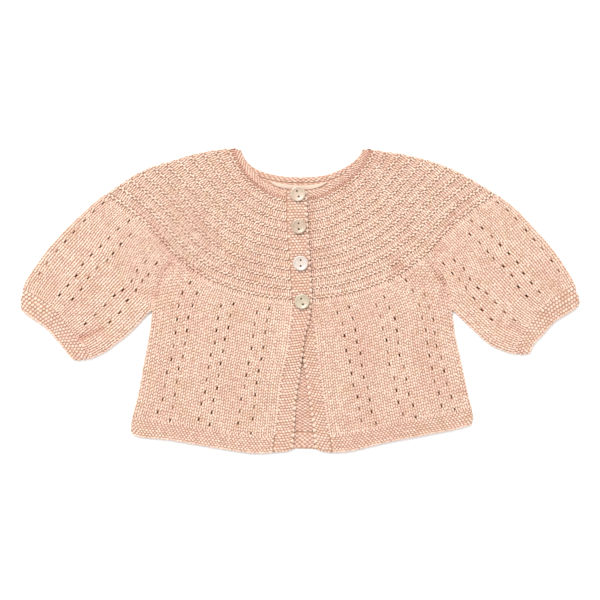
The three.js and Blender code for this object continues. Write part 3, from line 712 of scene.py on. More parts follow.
def ground_wool(name, colour, inside):
    """The same yarn seen deep between the stitches, a flat warm brown-pink that is painted shade. Inside
    the garment, as seen through an eyelet, it is redder: painted light, standing for the light there that
    has passed through wool. What shows at the neck and at the open front keeps the first colour."""
    material, tree = new_material(name)
    place = add_node(tree, "ShaderNodeTexCoord")
    spot = add_node(tree, "ShaderNodeSeparateXYZ", links={"Vector": place.outputs["Object"]})
    # Inside is low down in the back layer, to the sides of the open front, and below the neck
    low = add_node(tree, "ShaderNodeMapRange", values={1: 0.0024, 2: 0.0034, 3: 1.0, 4: 0.0},
                   links={0: spot.outputs["Z"]})
    away = add_node(tree, "ShaderNodeMath", {"operation": "ABSOLUTE"}, links={0: spot.outputs["X"]})
    beside = add_node(tree, "ShaderNodeMapRange", values={1: 0.026, 2: 0.036, 3: 0.0, 4: 1.0},
                      links={0: away.outputs[0]})
    below = add_node(tree, "ShaderNodeMapRange", values={1: 0.07, 2: 0.085, 3: 1.0, 4: 0.0},
                     links={0: spot.outputs["Y"]})
    covered = add_node(tree, "ShaderNodeMath", {"operation": "MULTIPLY"},
                       links={0: beside.outputs[0], 1: below.outputs[0]})
    hidden = add_node(tree, "ShaderNodeMath", {"operation": "MULTIPLY"},
                      links={0: covered.outputs[0], 1: low.outputs[0]})
    # The redder colour inside is painted light
    wool = add_node(tree, "ShaderNodeMix", {"data_type": "RGBA"}, {6: linear(colour), 7: linear(inside)},
                    {0: hidden.outputs[0]})
    fuzz = add_node(tree, "ShaderNodeTexNoise", values={"Scale": 600.0, "Detail": 2.0},
                    links={"Vector": place.outputs["Object"]})
    bump = add_node(tree, "ShaderNodeBump", values={"Strength": 0.5, "Distance": 0.0004},
                    links={"Height": fuzz.outputs["Fac"]})
    surface = add_node(tree, "ShaderNodeBsdfPrincipled",
                       values={"Roughness": 0.95, "IOR": 1.54, "Specular IOR Level": 0.1},
                       links={"Base Color": wool.outputs[2], "Normal": bump.outputs[0]})
    add_node(tree, "ShaderNodeOutputMaterial", links={"Surface": surface.outputs[0]})
    return material


def plain_cotton(name, colour):
    """Cotton, woven as tape or twisted as thread: matt, with a fine uneven surface."""
    material, tree = new_material(name)
    place = add_node(tree, "ShaderNodeTexCoord")
    weave = add_node(tree, "ShaderNodeTexNoise", values={"Scale": 900.0, "Detail": 3.0},
                     links={"Vector": place.outputs["Object"]})
    bump = add_node(tree, "ShaderNodeBump", values={"Strength": 0.4, "Distance": 0.0002},
                    links={"Height": weave.outputs["Fac"]})
    surface = add_node(tree, "ShaderNodeBsdfPrincipled",
                       values={"Base Color": linear(colour), "Roughness": 0.85, "IOR": 1.5,
                               "Sheen Weight": 0.1},
                       links={"Normal": bump.outputs[0]})
    add_node(tree, "ShaderNodeOutputMaterial", links={"Surface": surface.outputs[0]})
    return material


def mother_of_pearl(name, pale, deep):
    """Polished shell: a smooth glossy face over cloudy layers that drift between two colours."""
    material, tree = new_material(name)
    place = add_node(tree, "ShaderNodeTexCoord")
    clouds = add_node(tree, "ShaderNodeTexNoise",
                      values={"Scale": 150.0, "Detail": 3.0, "Roughness": 0.55, "Distortion": 1.2},
                      links={"Vector": place.outputs["Object"]})
    layers = add_node(tree, "ShaderNodeValToRGB", links={"Fac": clouds.outputs["Fac"]})
    set_ramp(layers, [(0.36, deep), (0.64, pale)])
    surface = add_node(tree, "ShaderNodeBsdfPrincipled",
                       values={"Roughness": 0.28, "IOR": 1.56, "Coat Weight": 0.3, "Coat Roughness": 0.12},
                       links={"Base Color": layers.outputs["Color"]})
    add_node(tree, "ShaderNodeOutputMaterial", links={"Surface": surface.outputs[0]})
    return material


# The yarn's darkest colour is painted shade and its palest a painted highlight
YARN = wool_yarn("salmon_wool", "a57f6b", "cfb19f", "e3cbba")
# Its darker brown-pink is painted shade, and its redder inside colour painted light
GROUND = ground_wool("salmon_wool_in_shadow", "ac8671", "8a4a30")
TAPE = plain_cotton("cream_cotton_tape", "bfa998")
THREAD = plain_cotton("sewing_thread", "6b5546")
SHELLS = [
    ("shell_grey", mother_of_pearl("grey_shell", "b7a493", "a5907e")),
    ("shell_tan", mother_of_pearl("tan_shell", "ab9682", "957e6b")),
    ("shell_white", mother_of_pearl("white_shell", "bdb1a9", "ae9f94")),
    ("shell_green", mother_of_pearl("green_shell", "b2a691", "a1937e")),
]


# Geometry nodes: one bead of yarn set on every point

def bead_tree(sides):
    """Puts a bead of yarn on each point, turned and sized by the point's attributes. For the material it
    stores crown, the height on the bead, and tone, a shade drawn at random for each bead."""
    tree = bpy.data.node_groups.new(f"yarn_bead_{sides}", "GeometryNodeTree")
    face = tree.interface
    face.new_socket("Points", in_out="INPUT", socket_type="NodeSocketGeometry")
    for name, default in (("Bow", 0.16), ("Taper", 3.0), ("Unevenness", 0.1)):
        face.new_socket(name, in_out="INPUT", socket_type="NodeSocketFloat").default_value = default
    for name, default in (("Segments", 3), ("Sides", sides), ("Seed", 7)):
        face.new_socket(name, in_out="INPUT", socket_type="NodeSocketInt").default_value = default
    face.new_socket("Yarn", in_out="INPUT", socket_type="NodeSocketMaterial")
    face.new_socket("Beads", in_out="OUTPUT", socket_type="NodeSocketGeometry")
    given = add_node(tree, "NodeGroupInput")
    dive = add_node(tree, "ShaderNodeMath", {"operation": "MULTIPLY"}, {1: -1.0}, {0: given.outputs["Bow"]})
    start = add_node(tree, "ShaderNodeCombineXYZ", values={"Y": -0.5}, links={"Z": dive.outputs[0]})
    middle = add_node(tree, "ShaderNodeCombineXYZ", links={"Z": given.outputs["Bow"]})
    end = add_node(tree, "ShaderNodeCombineXYZ", values={"Y": 0.5}, links={"Z": dive.outputs[0]})
    arm = add_node(tree, "GeometryNodeCurveQuadraticBezier", links={
        "Resolution": given.outputs["Segments"], "Start": start.outputs[0], "Middle": middle.outputs[0],
        "End": end.outputs[0]})
    share = add_node(tree, "GeometryNodeSplineParameter")
    centred = add_node(tree, "ShaderNodeMath", {"operation": "MULTIPLY_ADD"}, {1: 2.0, 2: -1.0},
                       {0: share.outputs["Factor"]})
    away = add_node(tree, "ShaderNodeMath", {"operation": "ABSOLUTE"}, links={0: centred.outputs[0]})
    narrowed = add_node(tree, "ShaderNodeMath", {"operation": "POWER"},
                        links={0: away.outputs[0], 1: given.outputs["Taper"]})
    girth = add_node(tree, "ShaderNodeMath", {"operation": "SUBTRACT"}, {0: 1.0}, {1: narrowed.outputs[0]})
    ring = add_node(tree, "GeometryNodeCurvePrimitiveCircle", values={"Radius": 0.5},
                    links={"Resolution": given.outputs["Sides"]})
    tube = add_node(tree, "GeometryNodeCurveToMesh", links={
        "Curve": arm.outputs[0], "Profile Curve": ring.outputs[0], "Scale": girth.outputs[0]})
    closed = add_node(tree, "GeometryNodeMergeByDistance", values={"Distance": 0.02},
                      links={"Geometry": tube.outputs[0]})
    spot = add_node(tree, "GeometryNodeInputPosition")
    parts = add_node(tree, "ShaderNodeSeparateXYZ", links={0: spot.outputs[0]})
    # The height on the bead, which the material paints as a highlight on top and shade down the sides
    crown = add_node(tree, "GeometryNodeStoreNamedAttribute", {"data_type": "FLOAT", "domain": "POINT"},
                     {"Name": "crown"}, {"Geometry": closed.outputs[0], "Value": parts.outputs["Z"]})
    turn = add_node(tree, "GeometryNodeInputNamedAttribute", {"data_type": "FLOAT_VECTOR"}, {"Name": "turn"})
    size = add_node(tree, "GeometryNodeInputNamedAttribute", {"data_type": "FLOAT_VECTOR"}, {"Name": "size"})
    least = add_node(tree, "ShaderNodeMath", {"operation": "SUBTRACT"}, {0: 1.0},
                     {1: given.outputs["Unevenness"]})
    most = add_node(tree, "ShaderNodeMath", {"operation": "ADD"}, {0: 1.0}, {1: given.outputs["Unevenness"]})
    vary = add_node(tree, "FunctionNodeRandomValue", {"data_type": "FLOAT"}, links={
        2: least.outputs[0], 3: most.outputs[0], "Seed": given.outputs["Seed"]})
    scaled = add_node(tree, "ShaderNodeVectorMath", {"operation": "SCALE"},
                      links={0: size.outputs[0], "Scale": vary.outputs[1]})
    rotation = add_node(tree, "FunctionNodeEulerToRotation", links={0: turn.outputs[0]})
    set_out = add_node(tree, "GeometryNodeInstanceOnPoints", links={
        "Points": given.outputs["Points"], "Instance": crown.outputs[0], "Rotation": rotation.outputs[0],
        "Scale": scaled.outputs[0]})
    shade = add_node(tree, "FunctionNodeRandomValue", {"data_type": "FLOAT"},
                     links={"Seed": given.outputs["Seed"]})
    tone = add_node(tree, "GeometryNodeStoreNamedAttribute", {"data_type": "FLOAT", "domain": "INSTANCE"},
                    {"Name": "tone"}, {"Geometry": set_out.outputs[0], "Value": shade.outputs[1]})
    whole = add_node(tree, "GeometryNodeRealizeInstances", links={"Geometry": tone.outputs[0]})
    rounded = add_node(tree, "GeometryNodeSetShadeSmooth", links={"Geometry": whole.outputs[0]})
    dressed = add_node(tree, "GeometryNodeSetMaterial", links={
        "Geometry": rounded.outputs[0], "Material": given.outputs["Yarn"]})
    add_node(tree, "NodeGroupOutput", links={"Beads": dressed.outputs[0]})
    return tree


# Rounder beads for the faces that show, plainer ones for the underside and the underarm seams
FINE_BEAD = bead_tree(6)
PLAIN_BEAD = bead_tree(5)


def mesh_object(name, points, faces):
    """An object in the scene from points in millimetres."""
    mesh = bpy.data.meshes.new(name)
    mesh.from_pydata([tuple(p) for p in np.asarray(points) * MM], [], faces)
    mesh.validate()
    thing = bpy.data.objects.new(name, mesh)
    bpy.context.scene.collection.objects.link(thing)
    return thing


def baked(thing):
    """The object's shape as it is after its modifiers, as a plain mesh."""
    bpy.context.view_layer.update()
    ready = thing.evaluated_get(bpy.context.evaluated_depsgraph_get())
    mesh = bpy.data.meshes.new_from_object(ready)
    thing.modifiers.clear()
    thing.data = mesh
    mesh.name = thing.name
    return thing


def yarn_piece(beads, tree):
    """All the beads of one piece as a plain mesh."""
    spots, turns, sizes, painted_shade = (
        np.concatenate(part) for part in (beads.spots, beads.turns, beads.sizes, beads.painted_shade))
    thing = mesh_object(beads.name, spots, [])
    for name, values in (("turn", turns), ("size", sizes * MM)):
        attribute = thing.data.attributes.new(name, "FLOAT_VECTOR", "POINT")
        attribute.data.foreach_set("vector", values.astype(np.float32).ravel())
    # How much painted shade each bead gets, for the material
    depth = thing.data.attributes.new("painted_shade", "FLOAT", "POINT")
    depth.data.foreach_set("value", painted_shade.astype(np.float32))
    modifier = thing.modifiers.new("yarn", "NODES")
    modifier.node_group = tree
    sockets = {item.name: item.identifier for item in tree.interface.items_tree}
    modifier[sockets["Yarn"]] = YARN
    modifier[sockets["Seed"]] = int(beads.random.integers(1000))
    baked(thing)
    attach(thing, ROOT)
    return thing


# Ground sheets: the cloth under the stitches, with real holes at the eyelets

def ground_sheet(name, columns, rows, ring=False, holes=(), depth=SHEET_DEPTH, thickness=SHEET_THICKNESS):
    """columns are (cloth, share across) in order, rows are shares along, and each hole says how far its
    sides are drawn in. The last column of a ring is joined to its first."""
    grid = np.stack([cloth.points(np.full(len(rows), share), rows, depth) for cloth, share in columns], 1)
    height, width = grid.shape[:2]
    for column, row in holes:
        near, far = column, (column + 1) % width
        for edge in (row, row + 1):
            inward = holes[column, row] * (grid[edge, far] - grid[edge, near])
            grid[edge, near] += inward
            grid[edge, far] -= inward
    faces = []
    for row in range(height - 1):
        for column in range(width if ring else width - 1):
            if (column, row) in holes:
                continue
            after = (column + 1) % width
            faces.append((row * width + column, (row + 1) * width + column,
                          (row + 1) * width + after, row * width + after))
    sheet = mesh_object(name, grid.reshape(-1, 3), faces)
    corner, below, beside = grid[0, 2], grid[1, 2], grid[0, 3]
    cloth, share = columns[2]
    across, along = np.array([share]), np.array([rows[0]])
    outward = (cloth.points(across, along, 0.2) - cloth.points(across, along, 0.6))[0]
    if np.dot(np.cross(below - corner, beside - corner), outward) < 0:
        sheet.data.flip_normals()
    return thickened(sheet, thickness, 0, GROUND)


def thickened(sheet, thickness, offset, material):
    """The sheet as a plain mesh with its thickness, its material and its place in the frame."""
    solid = sheet.modifiers.new("thickness", "SOLIDIFY")
    solid.thickness = thickness * MM
    solid.offset = offset
    sheet.data.materials.append(material)
    sheet.data.shade_smooth()
    baked(sheet)
    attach(sheet, ROOT)
    return sheet


def even(count):
    """The edges of a count of equal shares."""
    return np.linspace(0, 1, count + 1)


def round_columns(halves, behind, count):
    """Columns of a sheet that goes over the right shoulder, round the back and over the left shoulder."""
    right = [(halves[0], share) for share in even(count)]
    rear = [(behind, share) for share in even(2 * count)[1:-1]]
    left = [(halves[1], share) for share in even(count)[::-1]]
    return [*right, *rear, *left]


def tube_columns(top, under, count):
    """Columns of a sheet that goes over the top of a tube and back underneath."""
    upper = [(top, share) for share in even(count)]
    lower = [(under, share) for share in even(count)[::-1][1:-1]]
    return [*upper, *lower]


# Panels of the cardigan

def front_panel(lines):
    return Panel(Line(lines["yoke_to_front"]), Line(lines["hem_top"]), Line(lines["band_seam_front"]),
                 Line(lines["underarm"], lines["side"]))


def front_hem_panel(lines):
    return Panel(Line(lines["hem_top"]), Line(lines["hem_edge"]), Line(lines["band_seam_hem"]),
                 Line(lines["hem_side"]))


def yoke_panel(lines):
    return Panel(Line(lines["neck_seam"]), Line(lines["yoke_to_front"], lines["yoke_to_sleeve"]),
                 Line(lines["band_seam_yoke"]), Line(lines["shoulder_fold"]))


def neckband_panel(lines):
    start = [lines["neck_edge"][0], lines["neck_seam"][0]]
    end = [lines["neck_edge"][-1], lines["neck_seam"][-1]]
    return Panel(Line(lines["neck_edge"]), Line(lines["neck_seam"]), Line(start), Line(end))


def sleeve_panel(lines):
    return Panel(Line(lines["yoke_to_sleeve"][::-1]), Line(lines["cuff_seam"]), Line(lines["sleeve_fold"]),
                 Line(lines["underarm"], lines["sleeve_under"]))


def cuff_panel(lines):
    return Panel(Line(lines["cuff_seam"]), Line(lines["cuff_edge"]), Line(lines["cuff_fold"]),
                 Line(lines["cuff_under"]))


def back_yoke_panel():
    middle = [RIGHT["band_seam_yoke"][-1], LEFT["band_seam_yoke"][-1]]
    foot = Line(RIGHT["yoke_to_sleeve"][::-1], RIGHT["yoke_to_front"][::-1], middle, LEFT["yoke_to_front"],
                LEFT["yoke_to_sleeve"])
    return Panel(Line(BACK_LINES["neck_seam"]), foot, Line(RIGHT["shoulder_fold"]),
                 Line(LEFT["shoulder_fold"]))


def back_neckband_panel():
    right, left = ([lines["neck_edge"][-1], lines["neck_seam"][-1]] for lines in (RIGHT, LEFT))
    return Panel(Line(BACK_LINES["neck_edge"]), Line(BACK_LINES["neck_seam"]), Line(right), Line(left))


def back_panel():
    middle = [RIGHT["band_seam_yoke"][-1], LEFT["band_seam_yoke"][-1]]
    head = Line(RIGHT["yoke_to_front"][::-1], middle, LEFT["yoke_to_front"])
    return Panel(head, Line(BACK_LINES["hem_top"]), Line(RIGHT["underarm"], RIGHT["side"]),
                 Line(LEFT["underarm"], LEFT["side"]))


def back_hem_panel():
    return Panel(Line(BACK_LINES["hem_top"]), Line(BACK_LINES["hem_edge"]), Line(RIGHT["hem_side"]),
                 Line(LEFT["hem_side"]))


def buttonhole_band_panel():
    seam = Line([RIGHT["neck_edge"][0], RIGHT["neck_seam"][0]], RIGHT["band_seam_yoke"],
                RIGHT["band_seam_front"], RIGHT["band_seam_hem"])
    return Panel(Line(BAND_LINES["buttonhole_top"]), Line(BAND_LINES["buttonhole_foot"]), seam,
                 Line(BAND_LINES["buttonhole_free"]))


def button_band_panel():
    seam = Line([LEFT["neck_edge"][0], LEFT["neck_seam"][0]], LEFT["band_seam_yoke"],
                LEFT["band_seam_front"], LEFT["band_seam_hem"])
    return Panel(Line(BAND_LINES["button_top"]), Line(BAND_LINES["button_foot"]),
                 Line(BAND_LINES["button_free"]), seam)


# Ridges: how far the cloth dips between them

def welts(along):
    """Round welts, with a narrow groove between one and the next."""
    return WELT_DIP * np.abs(np.cos(np.pi * along * YOKE_WELTS)) ** 3 * np.clip(0.3 + (1 - along) * 20, 0, 1)


def below_welts(along):
    """The sheet under the welts lies a little lower and follows them less."""
    return 0.3 + 0.3 * welts(along)


def ridges(count):
    """Garter ridges, with a groove between one and the next."""
    def dip(along):
        return GARTER_DIP * np.cos(np.pi * along * count) ** 2 * np.clip(4 * along * count, 0, 1)
    return dip


# How many stitches a row has

def steady(count):
    """The same number in every row."""
    def stitches(along):
        return count
    return stitches


def by_width(cloth, pitch=STITCH, held_over=1):
    """From the cloth's own width there. held_over is the share of the length over which it stays the same."""
    def stitches(along):
        middle = (math.floor(along / held_over) + 0.5) * held_over
        return max(3, round(float(cloth.width(middle)) / pitch))
    return stitches


# Rows of a welt

def neck_row(row):
    return row == 0


def crest_row(row):
    return row % WELT_ROWS == 1


def groove_row(row):
    return row > 0 and not crest_row(row)


# Where the inner face of the back layer shows

def behind_open_front(x, y):
    return (np.abs(x - 2) < 32) & (y < -20)


def behind_open_hem(x, y):
    return np.abs(x - 2) < 34


def behind_neck(x, y):
    return (np.abs(x) < 46) & (y > 80)


def everywhere(x, y):
    return np.full(x.shape, True)


# Pieces

pieces = {}  # for each node, its ground sheet and its pieces of yarn


def stand_for(node, sheet, parts):
    """A sheet, with its yarn, stands for a node of the part."""
    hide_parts(node)
    pieces[node] = (sheet, parts)


def front(name, lines, eyelets, seed):
    cloth = Cloth(front_panel(lines))
    rows = even(FRONT_ROWS)
    cells = eyelet_cells(eyelets, FRONT_STITCHES, FRONT_ROWS, seed)
    columns = [(cloth, share) for share in even(2 * FRONT_STITCHES)]
    sheet = ground_sheet(name + "_cloth", columns, rows, holes=cells)
    beads = Beads(name + "_stitches", seed)
    knit(beads, cloth, rows, steady(FRONT_STITCHES), cells)
    for seam in ("yoke_to_front", "hem_top", "band_seam_front"):
        join_row(beads, Line(lines[seam]))
    stand_for(name, sheet, [yarn_piece(beads, FINE_BEAD)])


def front_hem(name, lines, seed):
    cloth = Cloth(front_hem_panel(lines), dip=ridges(HEM_RIDGES))
    columns = [(cloth, share) for share in even(48)]
    sheet = ground_sheet(name + "_cloth", columns, even(4 * HEM_RIDGES))
    beads = Beads(name + "_stitches", seed)
    garter(beads, cloth, even(HEM_RIDGES), steady(FRONT_HEM_STITCHES))
    foot_chain(beads, cloth, along=0.985)
    stand_for(name, sheet, [yarn_piece(beads, FINE_BEAD)])


def back_eyelets():
    """The columns of the right front twice over, from each side of the back, and a little lower."""
    columns = []
    for first, middle, last, holes in RIGHT_FRONT_EYELETS:
        for side in (0, 1):
            places = [(abs(side - 0.47 * (1 - across)), along + 0.05)
                      for across, along in (first, middle, last)]
            columns.append((*places, holes))
    return eyelet_cells(columns, BACK_STITCHES, FRONT_ROWS, 30)


def back():
    cloth = Cloth(back_panel(), BACK, (True, True))
    rows, cells = even(FRONT_ROWS), back_eyelets()
    columns = [(cloth, share) for share in even(2 * BACK_STITCHES)]
    sheet = ground_sheet("back_cloth", columns, rows, holes=cells, depth=INNER_SHEET_DEPTH,
                         thickness=INNER_SHEET_THICKNESS)
    outside = Beads("back_stitches", 31)
    knit(outside, cloth, rows, steady(BACK_STITCHES), cells)
    inside = Beads("back_inner_stitches", 32)
    purl(inside, cloth, even(42), steady(62), behind_open_front)
    stand_for("back", sheet, [yarn_piece(outside, PLAIN_BEAD), yarn_piece(inside, FINE_BEAD)])


def back_hem():
    cloth = Cloth(back_hem_panel(), BACK, (True, True))
    columns = [(cloth, share) for share in even(96)]
    sheet = ground_sheet("back_hem_cloth", columns, even(2 * HEM_RIDGES), depth=INNER_SHEET_DEPTH,
                         thickness=INNER_SHEET_THICKNESS)
    outside = Beads("back_hem_stitches", 33)
    garter(outside, cloth, even(HEM_RIDGES), steady(BACK_HEM_STITCHES))
    foot_chain(outside, cloth, along=0.985)
    inside = Beads("back_hem_inner_stitches", 34)
    purl(inside, cloth, even(4), steady(68), behind_open_hem)
    stand_for("back_hem", sheet, [yarn_piece(outside, PLAIN_BEAD), yarn_piece(inside, FINE_BEAD)])


def yoke_stitches(name, cloth, tree, seed):
    """Plain rows in the grooves, a raised row on each welt, and in front a row picked up at the neck."""
    beads = Beads(f"yoke_{name}_stitches", seed)
    rows = even(YOKE_WELTS * WELT_ROWS)
    count = by_width(cloth, held_over=1 / YOKE_WELTS)
    # The first row, under the neckband, and the row picked up at the neck get painted shade
    knit(beads, cloth, rows, count, lean=4, girth=0.3, length=1.45, bias=0, chosen=neck_row, painted_shade=0.6)
    knit(beads, cloth, rows, count, lean=4, girth=0.42, length=1.45, bias=0, chosen=groove_row)
    if cloth.layer == FRONT:
        join_row(beads, cloth.panel.head, reach=4.0, girth=0.5, low=0.25, painted_shade=1.5)
    ridge(beads, cloth, rows, count, chosen=crest_row)
    return yarn_piece(beads, tree)


def yoke():
    halves = [Cloth(yoke_panel(lines), dip=welts) for lines in (RIGHT, LEFT)]
    behind = Cloth(back_yoke_panel(), BACK, (True, True), dip=welts)
    flat_halves = [Cloth(yoke_panel(lines), dip=below_welts) for lines in (RIGHT, LEFT)]
    flat_behind = Cloth(back_yoke_panel(), BACK, (True, True), dip=below_welts)
    columns = round_columns(flat_halves, flat_behind, 44)
    sheet = ground_sheet("yoke_cloth", columns, even(4 * YOKE_WELTS), thickness=YOKE_SHEET_THICKNESS)
    parts = [
        yoke_stitches("right", halves[0], FINE_BEAD, 41),
        yoke_stitches("left", halves[1], FINE_BEAD, 42),
        yoke_stitches("back", behind, PLAIN_BEAD, 43),
    ]
    inside = Beads("yoke_inner_stitches", 44)
    rows = even(YOKE_WELTS * WELT_ROWS)[:8]
    purl(inside, behind, rows, by_width(behind, held_over=1 / YOKE_WELTS), behind_neck)
    stand_for("yoke", sheet, [*parts, yarn_piece(inside, FINE_BEAD)])


def neckband_stitches(name, cloth, tree, seed):
    beads = Beads(f"neckband_{name}_stitches", seed)
    garter(beads, cloth, even(2), by_width(cloth, 2.8), slant=18, girth=0.46, length=1.1)
    return yarn_piece(beads, tree)


def neckband():
    halves = [Cloth(neckband_panel(lines)) for lines in (RIGHT, LEFT)]
    behind = Cloth(back_neckband_panel(), BACK, (True, True))
    columns = round_columns(halves, behind, 24)
    sheet = ground_sheet("neckband_cloth", columns, even(4), depth=INNER_SHEET_DEPTH,
                         thickness=INNER_SHEET_THICKNESS)
    parts = [
        neckband_stitches("right", halves[0], FINE_BEAD, 51),
        neckband_stitches("left", halves[1], FINE_BEAD, 52),
        neckband_stitches("back", behind, PLAIN_BEAD, 53),
    ]
    inside = Beads("neckband_inner_stitches", 54)
    purl(inside, behind, even(2), by_width(behind), everywhere)
    stand_for("neckband", sheet, [*parts, yarn_piece(inside, FINE_BEAD)])


def sleeve(name, lines, seed):
    top = Cloth(sleeve_panel(lines), FRONT, (True, True))
    under = Cloth(sleeve_panel(lines), BACK, (True, True))
    rows = even(SLEEVE_ROWS)
    cells = eyelet_cells(SLEEVE_EYELETS, SLEEVE_STITCHES, SLEEVE_ROWS, seed)
    # Underneath, the eyelets lie two rows further down, so that the holes of the two layers don't meet
    under_cells, turned = {}, {}
    for (half, row), drawn_in in cells.items():
        if row + 2 < SLEEVE_ROWS:
            under_cells[half, row + 2] = drawn_in
            turned[4 * SLEEVE_STITCHES - 1 - half, row + 2] = drawn_in
    columns = tube_columns(top, under, 2 * SLEEVE_STITCHES)
    sheet = ground_sheet(name + "_cloth", columns, rows, ring=True, holes=cells | turned)
    parts = []
    sides = (("top", top, FINE_BEAD, cells), ("under", under, PLAIN_BEAD, under_cells))
    for side, cloth, tree, holes in sides:
        beads = Beads(f"{name}_{side}_stitches", seed)
        knit(beads, cloth, rows, steady(SLEEVE_STITCHES), holes, lean=9, girth=0.43, length=1.5, bias=0.08)
        if cloth is top:
            join_row(beads, Line(lines["yoke_to_sleeve"]))
            join_row(beads, Line(lines["cuff_seam"]))
        parts.append(yarn_piece(beads, tree))
    seam = Beads(f"{name}_underarm_seam", seed + 10)
    for height in (FOLD + 1.1, FOLD - 1.1):
        seam_stitches(seam, Line(lines["underarm"]), height)
    stand_for(name, sheet, [*parts, yarn_piece(seam, PLAIN_BEAD)])


def cuff(name, lines, seed):
    dip = ridges(CUFF_RIDGES)
    top = Cloth(cuff_panel(lines), FRONT, (True, True), dip=dip)
    under = Cloth(cuff_panel(lines), BACK, (True, True), dip=dip)
    columns = tube_columns(top, under, 30)
    sheet = ground_sheet(name + "_cloth", columns, even(4 * CUFF_RIDGES), ring=True)
    parts = []
    for side, cloth, tree in (("top", top, FINE_BEAD), ("under", under, PLAIN_BEAD)):
        beads = Beads(f"{name}_{side}_stitches", seed)
        garter(beads, cloth, even(CUFF_RIDGES), by_width(cloth, 2.7))
        foot_chain(beads, cloth, along=0.98)
        parts.append(yarn_piece(beads, tree))
    stand_for(name, sheet, parts)


def band(name, panel, lift, free_side, first_ridge, stitches_across, seed, buttonholes=False):
    """A front band. free_side is the share across of its open edge. The ridges above first_ridge are
    hidden under the other band and left out."""
    cloth = Cloth(panel, FRONT, (False, False), lift=lift, dip=ridges(BAND_RIDGES))
    columns = [(cloth, share) for share in even(8)]
    rows = even(4 * BAND_RIDGES)
    holes = buttonhole_cells(cloth, columns, rows) if buttonholes else {}
    sheet = ground_sheet(name + "_cloth", columns, rows, holes=holes)
    beads = Beads(name + "_stitches", seed)
    edges = even(BAND_RIDGES)[first_ridge:]
    garter(beads, cloth, edges, steady(stitches_across), slant=27, girth=0.46, length=1.15)
    for inset, depth in ((0.03, 1.1), (0.0, 1.6)):
        side_chain(beads, cloth, abs(free_side - inset), BAND_RIDGES, depth)
    stand_for(name, sheet, [yarn_piece(beads, FINE_BEAD)])


def buttonhole_cells(cloth, columns, rows):
    """Cells of the band's sheet that the buttonholes open, one slot across the band at each button."""
    cells = {}
    shares = np.array([share for _, share in columns])
    middle = cloth.points(0.5, rows, 0)
    for x, y, _ in BUTTONS:
        row = int(np.argmin(np.abs(middle[:, 1] - y)))
        across = cloth.points(shares, rows[row], 0)[:, 0]
        for column in range(len(columns) - 1):
            if abs((across[column] + across[column + 1]) / 2 - x) < BUTTONHOLE / 2:
                cells[column, row] = 0.0
    return cells


def neck_tape():
    """Cotton tape with fine cords along it."""
    upper, lower = Line(TAPE_UPPER), Line(TAPE_LOWER)
    steps, ribs = even(60), even(8)
    grid = []
    for rib in ribs:
        spots = upper.at(steps) * (1 - rib) + lower.at(steps) * rib
        height = LAYER + 0.6 + 0.16 * math.sin(rib * math.pi * 7) ** 2
        grid.append(np.column_stack([spots, np.full(len(steps), height)]))
    width = len(steps)
    faces = [(r * width + c, (r + 1) * width + c, (r + 1) * width + c + 1, r * width + c + 1)
             for r in range(len(ribs) - 1) for c in range(width - 1)]
    tape = mesh_object("neck_tape_cloth", np.concatenate(grid), faces)
    stand_for("neck_tape", thickened(tape, 0.7, -1, TAPE), [])


# Buttons

# Half of a button's section, from the middle of its underside round to the middle of its face
BUTTON_SECTION = [
    (0, 0.2), (3.6, 0.0), (5.2, 0.1), (5.9, 0.4), (6.2, 0.85), (6.25, 1.2), (6.1, 1.6), (5.75, 1.9),
    (5.3, 2.0), (4.9, 1.92), (4.5, 1.68), (4.1, 1.5), (3.4, 1.42), (0, 1.4),
]
BUTTON_SIDES = 64


def turned_disc(name, section, sides):
    """A closed body turned round its middle from half of its section."""
    points, faces = [], []
    rings = section[1:-1]
    points.append((0, 0, section[0][1]))
    for radius, height in rings:
        for step in range(sides):
            angle = 2 * math.pi * step / sides
            points.append((radius * math.cos(angle), radius * math.sin(angle), height))
    points.append((0, 0, section[-1][1]))
    top = len(points) - 1
    for step in range(sides):
        after = (step + 1) % sides
        faces.append((0, 1 + after, 1 + step))
        for ring in range(len(rings) - 1):
            low, high = 1 + ring * sides, 1 + (ring + 1) * sides
            faces.append((low + step, low + after, high + after, high + step))
        last = 1 + (len(rings) - 1) * sides
        faces.append((last + step, last + after, top))
    return mesh_object(name, points, faces)


def move_to(x, y, z):
    return Matrix.Translation(Vector((x, y, z)) * MM)


def turn_by(degrees):
    return Matrix.Rotation(math.radians(degrees), 4, "Z")


def button(number, x, y, turn):
    slot_name, shell = SHELLS[number]
    node = f"button_{number + 1}"
    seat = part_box(node)[0].z / MM
    disc = turned_disc(f"{node}_shell", BUTTON_SECTION, BUTTON_SIDES)
    cutters = []
    for side in (-1, 1):
        cutter = turned_disc("drill", [(0, -3), (HOLE_R, -3), (HOLE_R, 6), (0, 6)], 20)
        cutter.data.transform(move_to(0, side * HOLE_SPACING / 2, 0))
        cut = disc.modifiers.new("hole", "BOOLEAN")
        cut.operation = "DIFFERENCE"
        cut.object = cutter
        cut.solver = "EXACT"
        cutters.append(cutter)
    baked(disc)
    for cutter in cutters:
        bpy.data.objects.remove(cutter)
    disc.data.transform(turn_by(turn))
    disc.data.transform(move_to(x, y, seat))
    disc.data.materials.clear()
    disc.data.materials.append(shell)
    disc.data.shade_smooth()
    disc.data.set_sharp_from_angle(angle=math.radians(40))
    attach(disc, ROOT)
    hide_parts(node)
    sewing(node, x, y, turn, seat)


def sewing(node, x, y, turn, seat):
    """Thread down each hole of a button, through the buttonhole to the band below."""
    posts = []
    for side in (-1, 1):
        post = turned_disc(f"{node}_thread", [(0, -3.6), (0.42, -3.6), (0.42, 0.7), (0, 0.75)], 10)
        post.data.transform(move_to(0, side * HOLE_SPACING / 2, 0))
        posts.append(post)
    with bpy.context.temp_override(active_object=posts[0], selected_editable_objects=posts):
        bpy.ops.object.join()
    thread = posts[0]
    thread.data.transform(turn_by(turn))
    thread.data.transform(move_to(x, y, seat))
    thread.data.materials.append(THREAD)
    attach(thread, ROOT)


# Make the cardigan

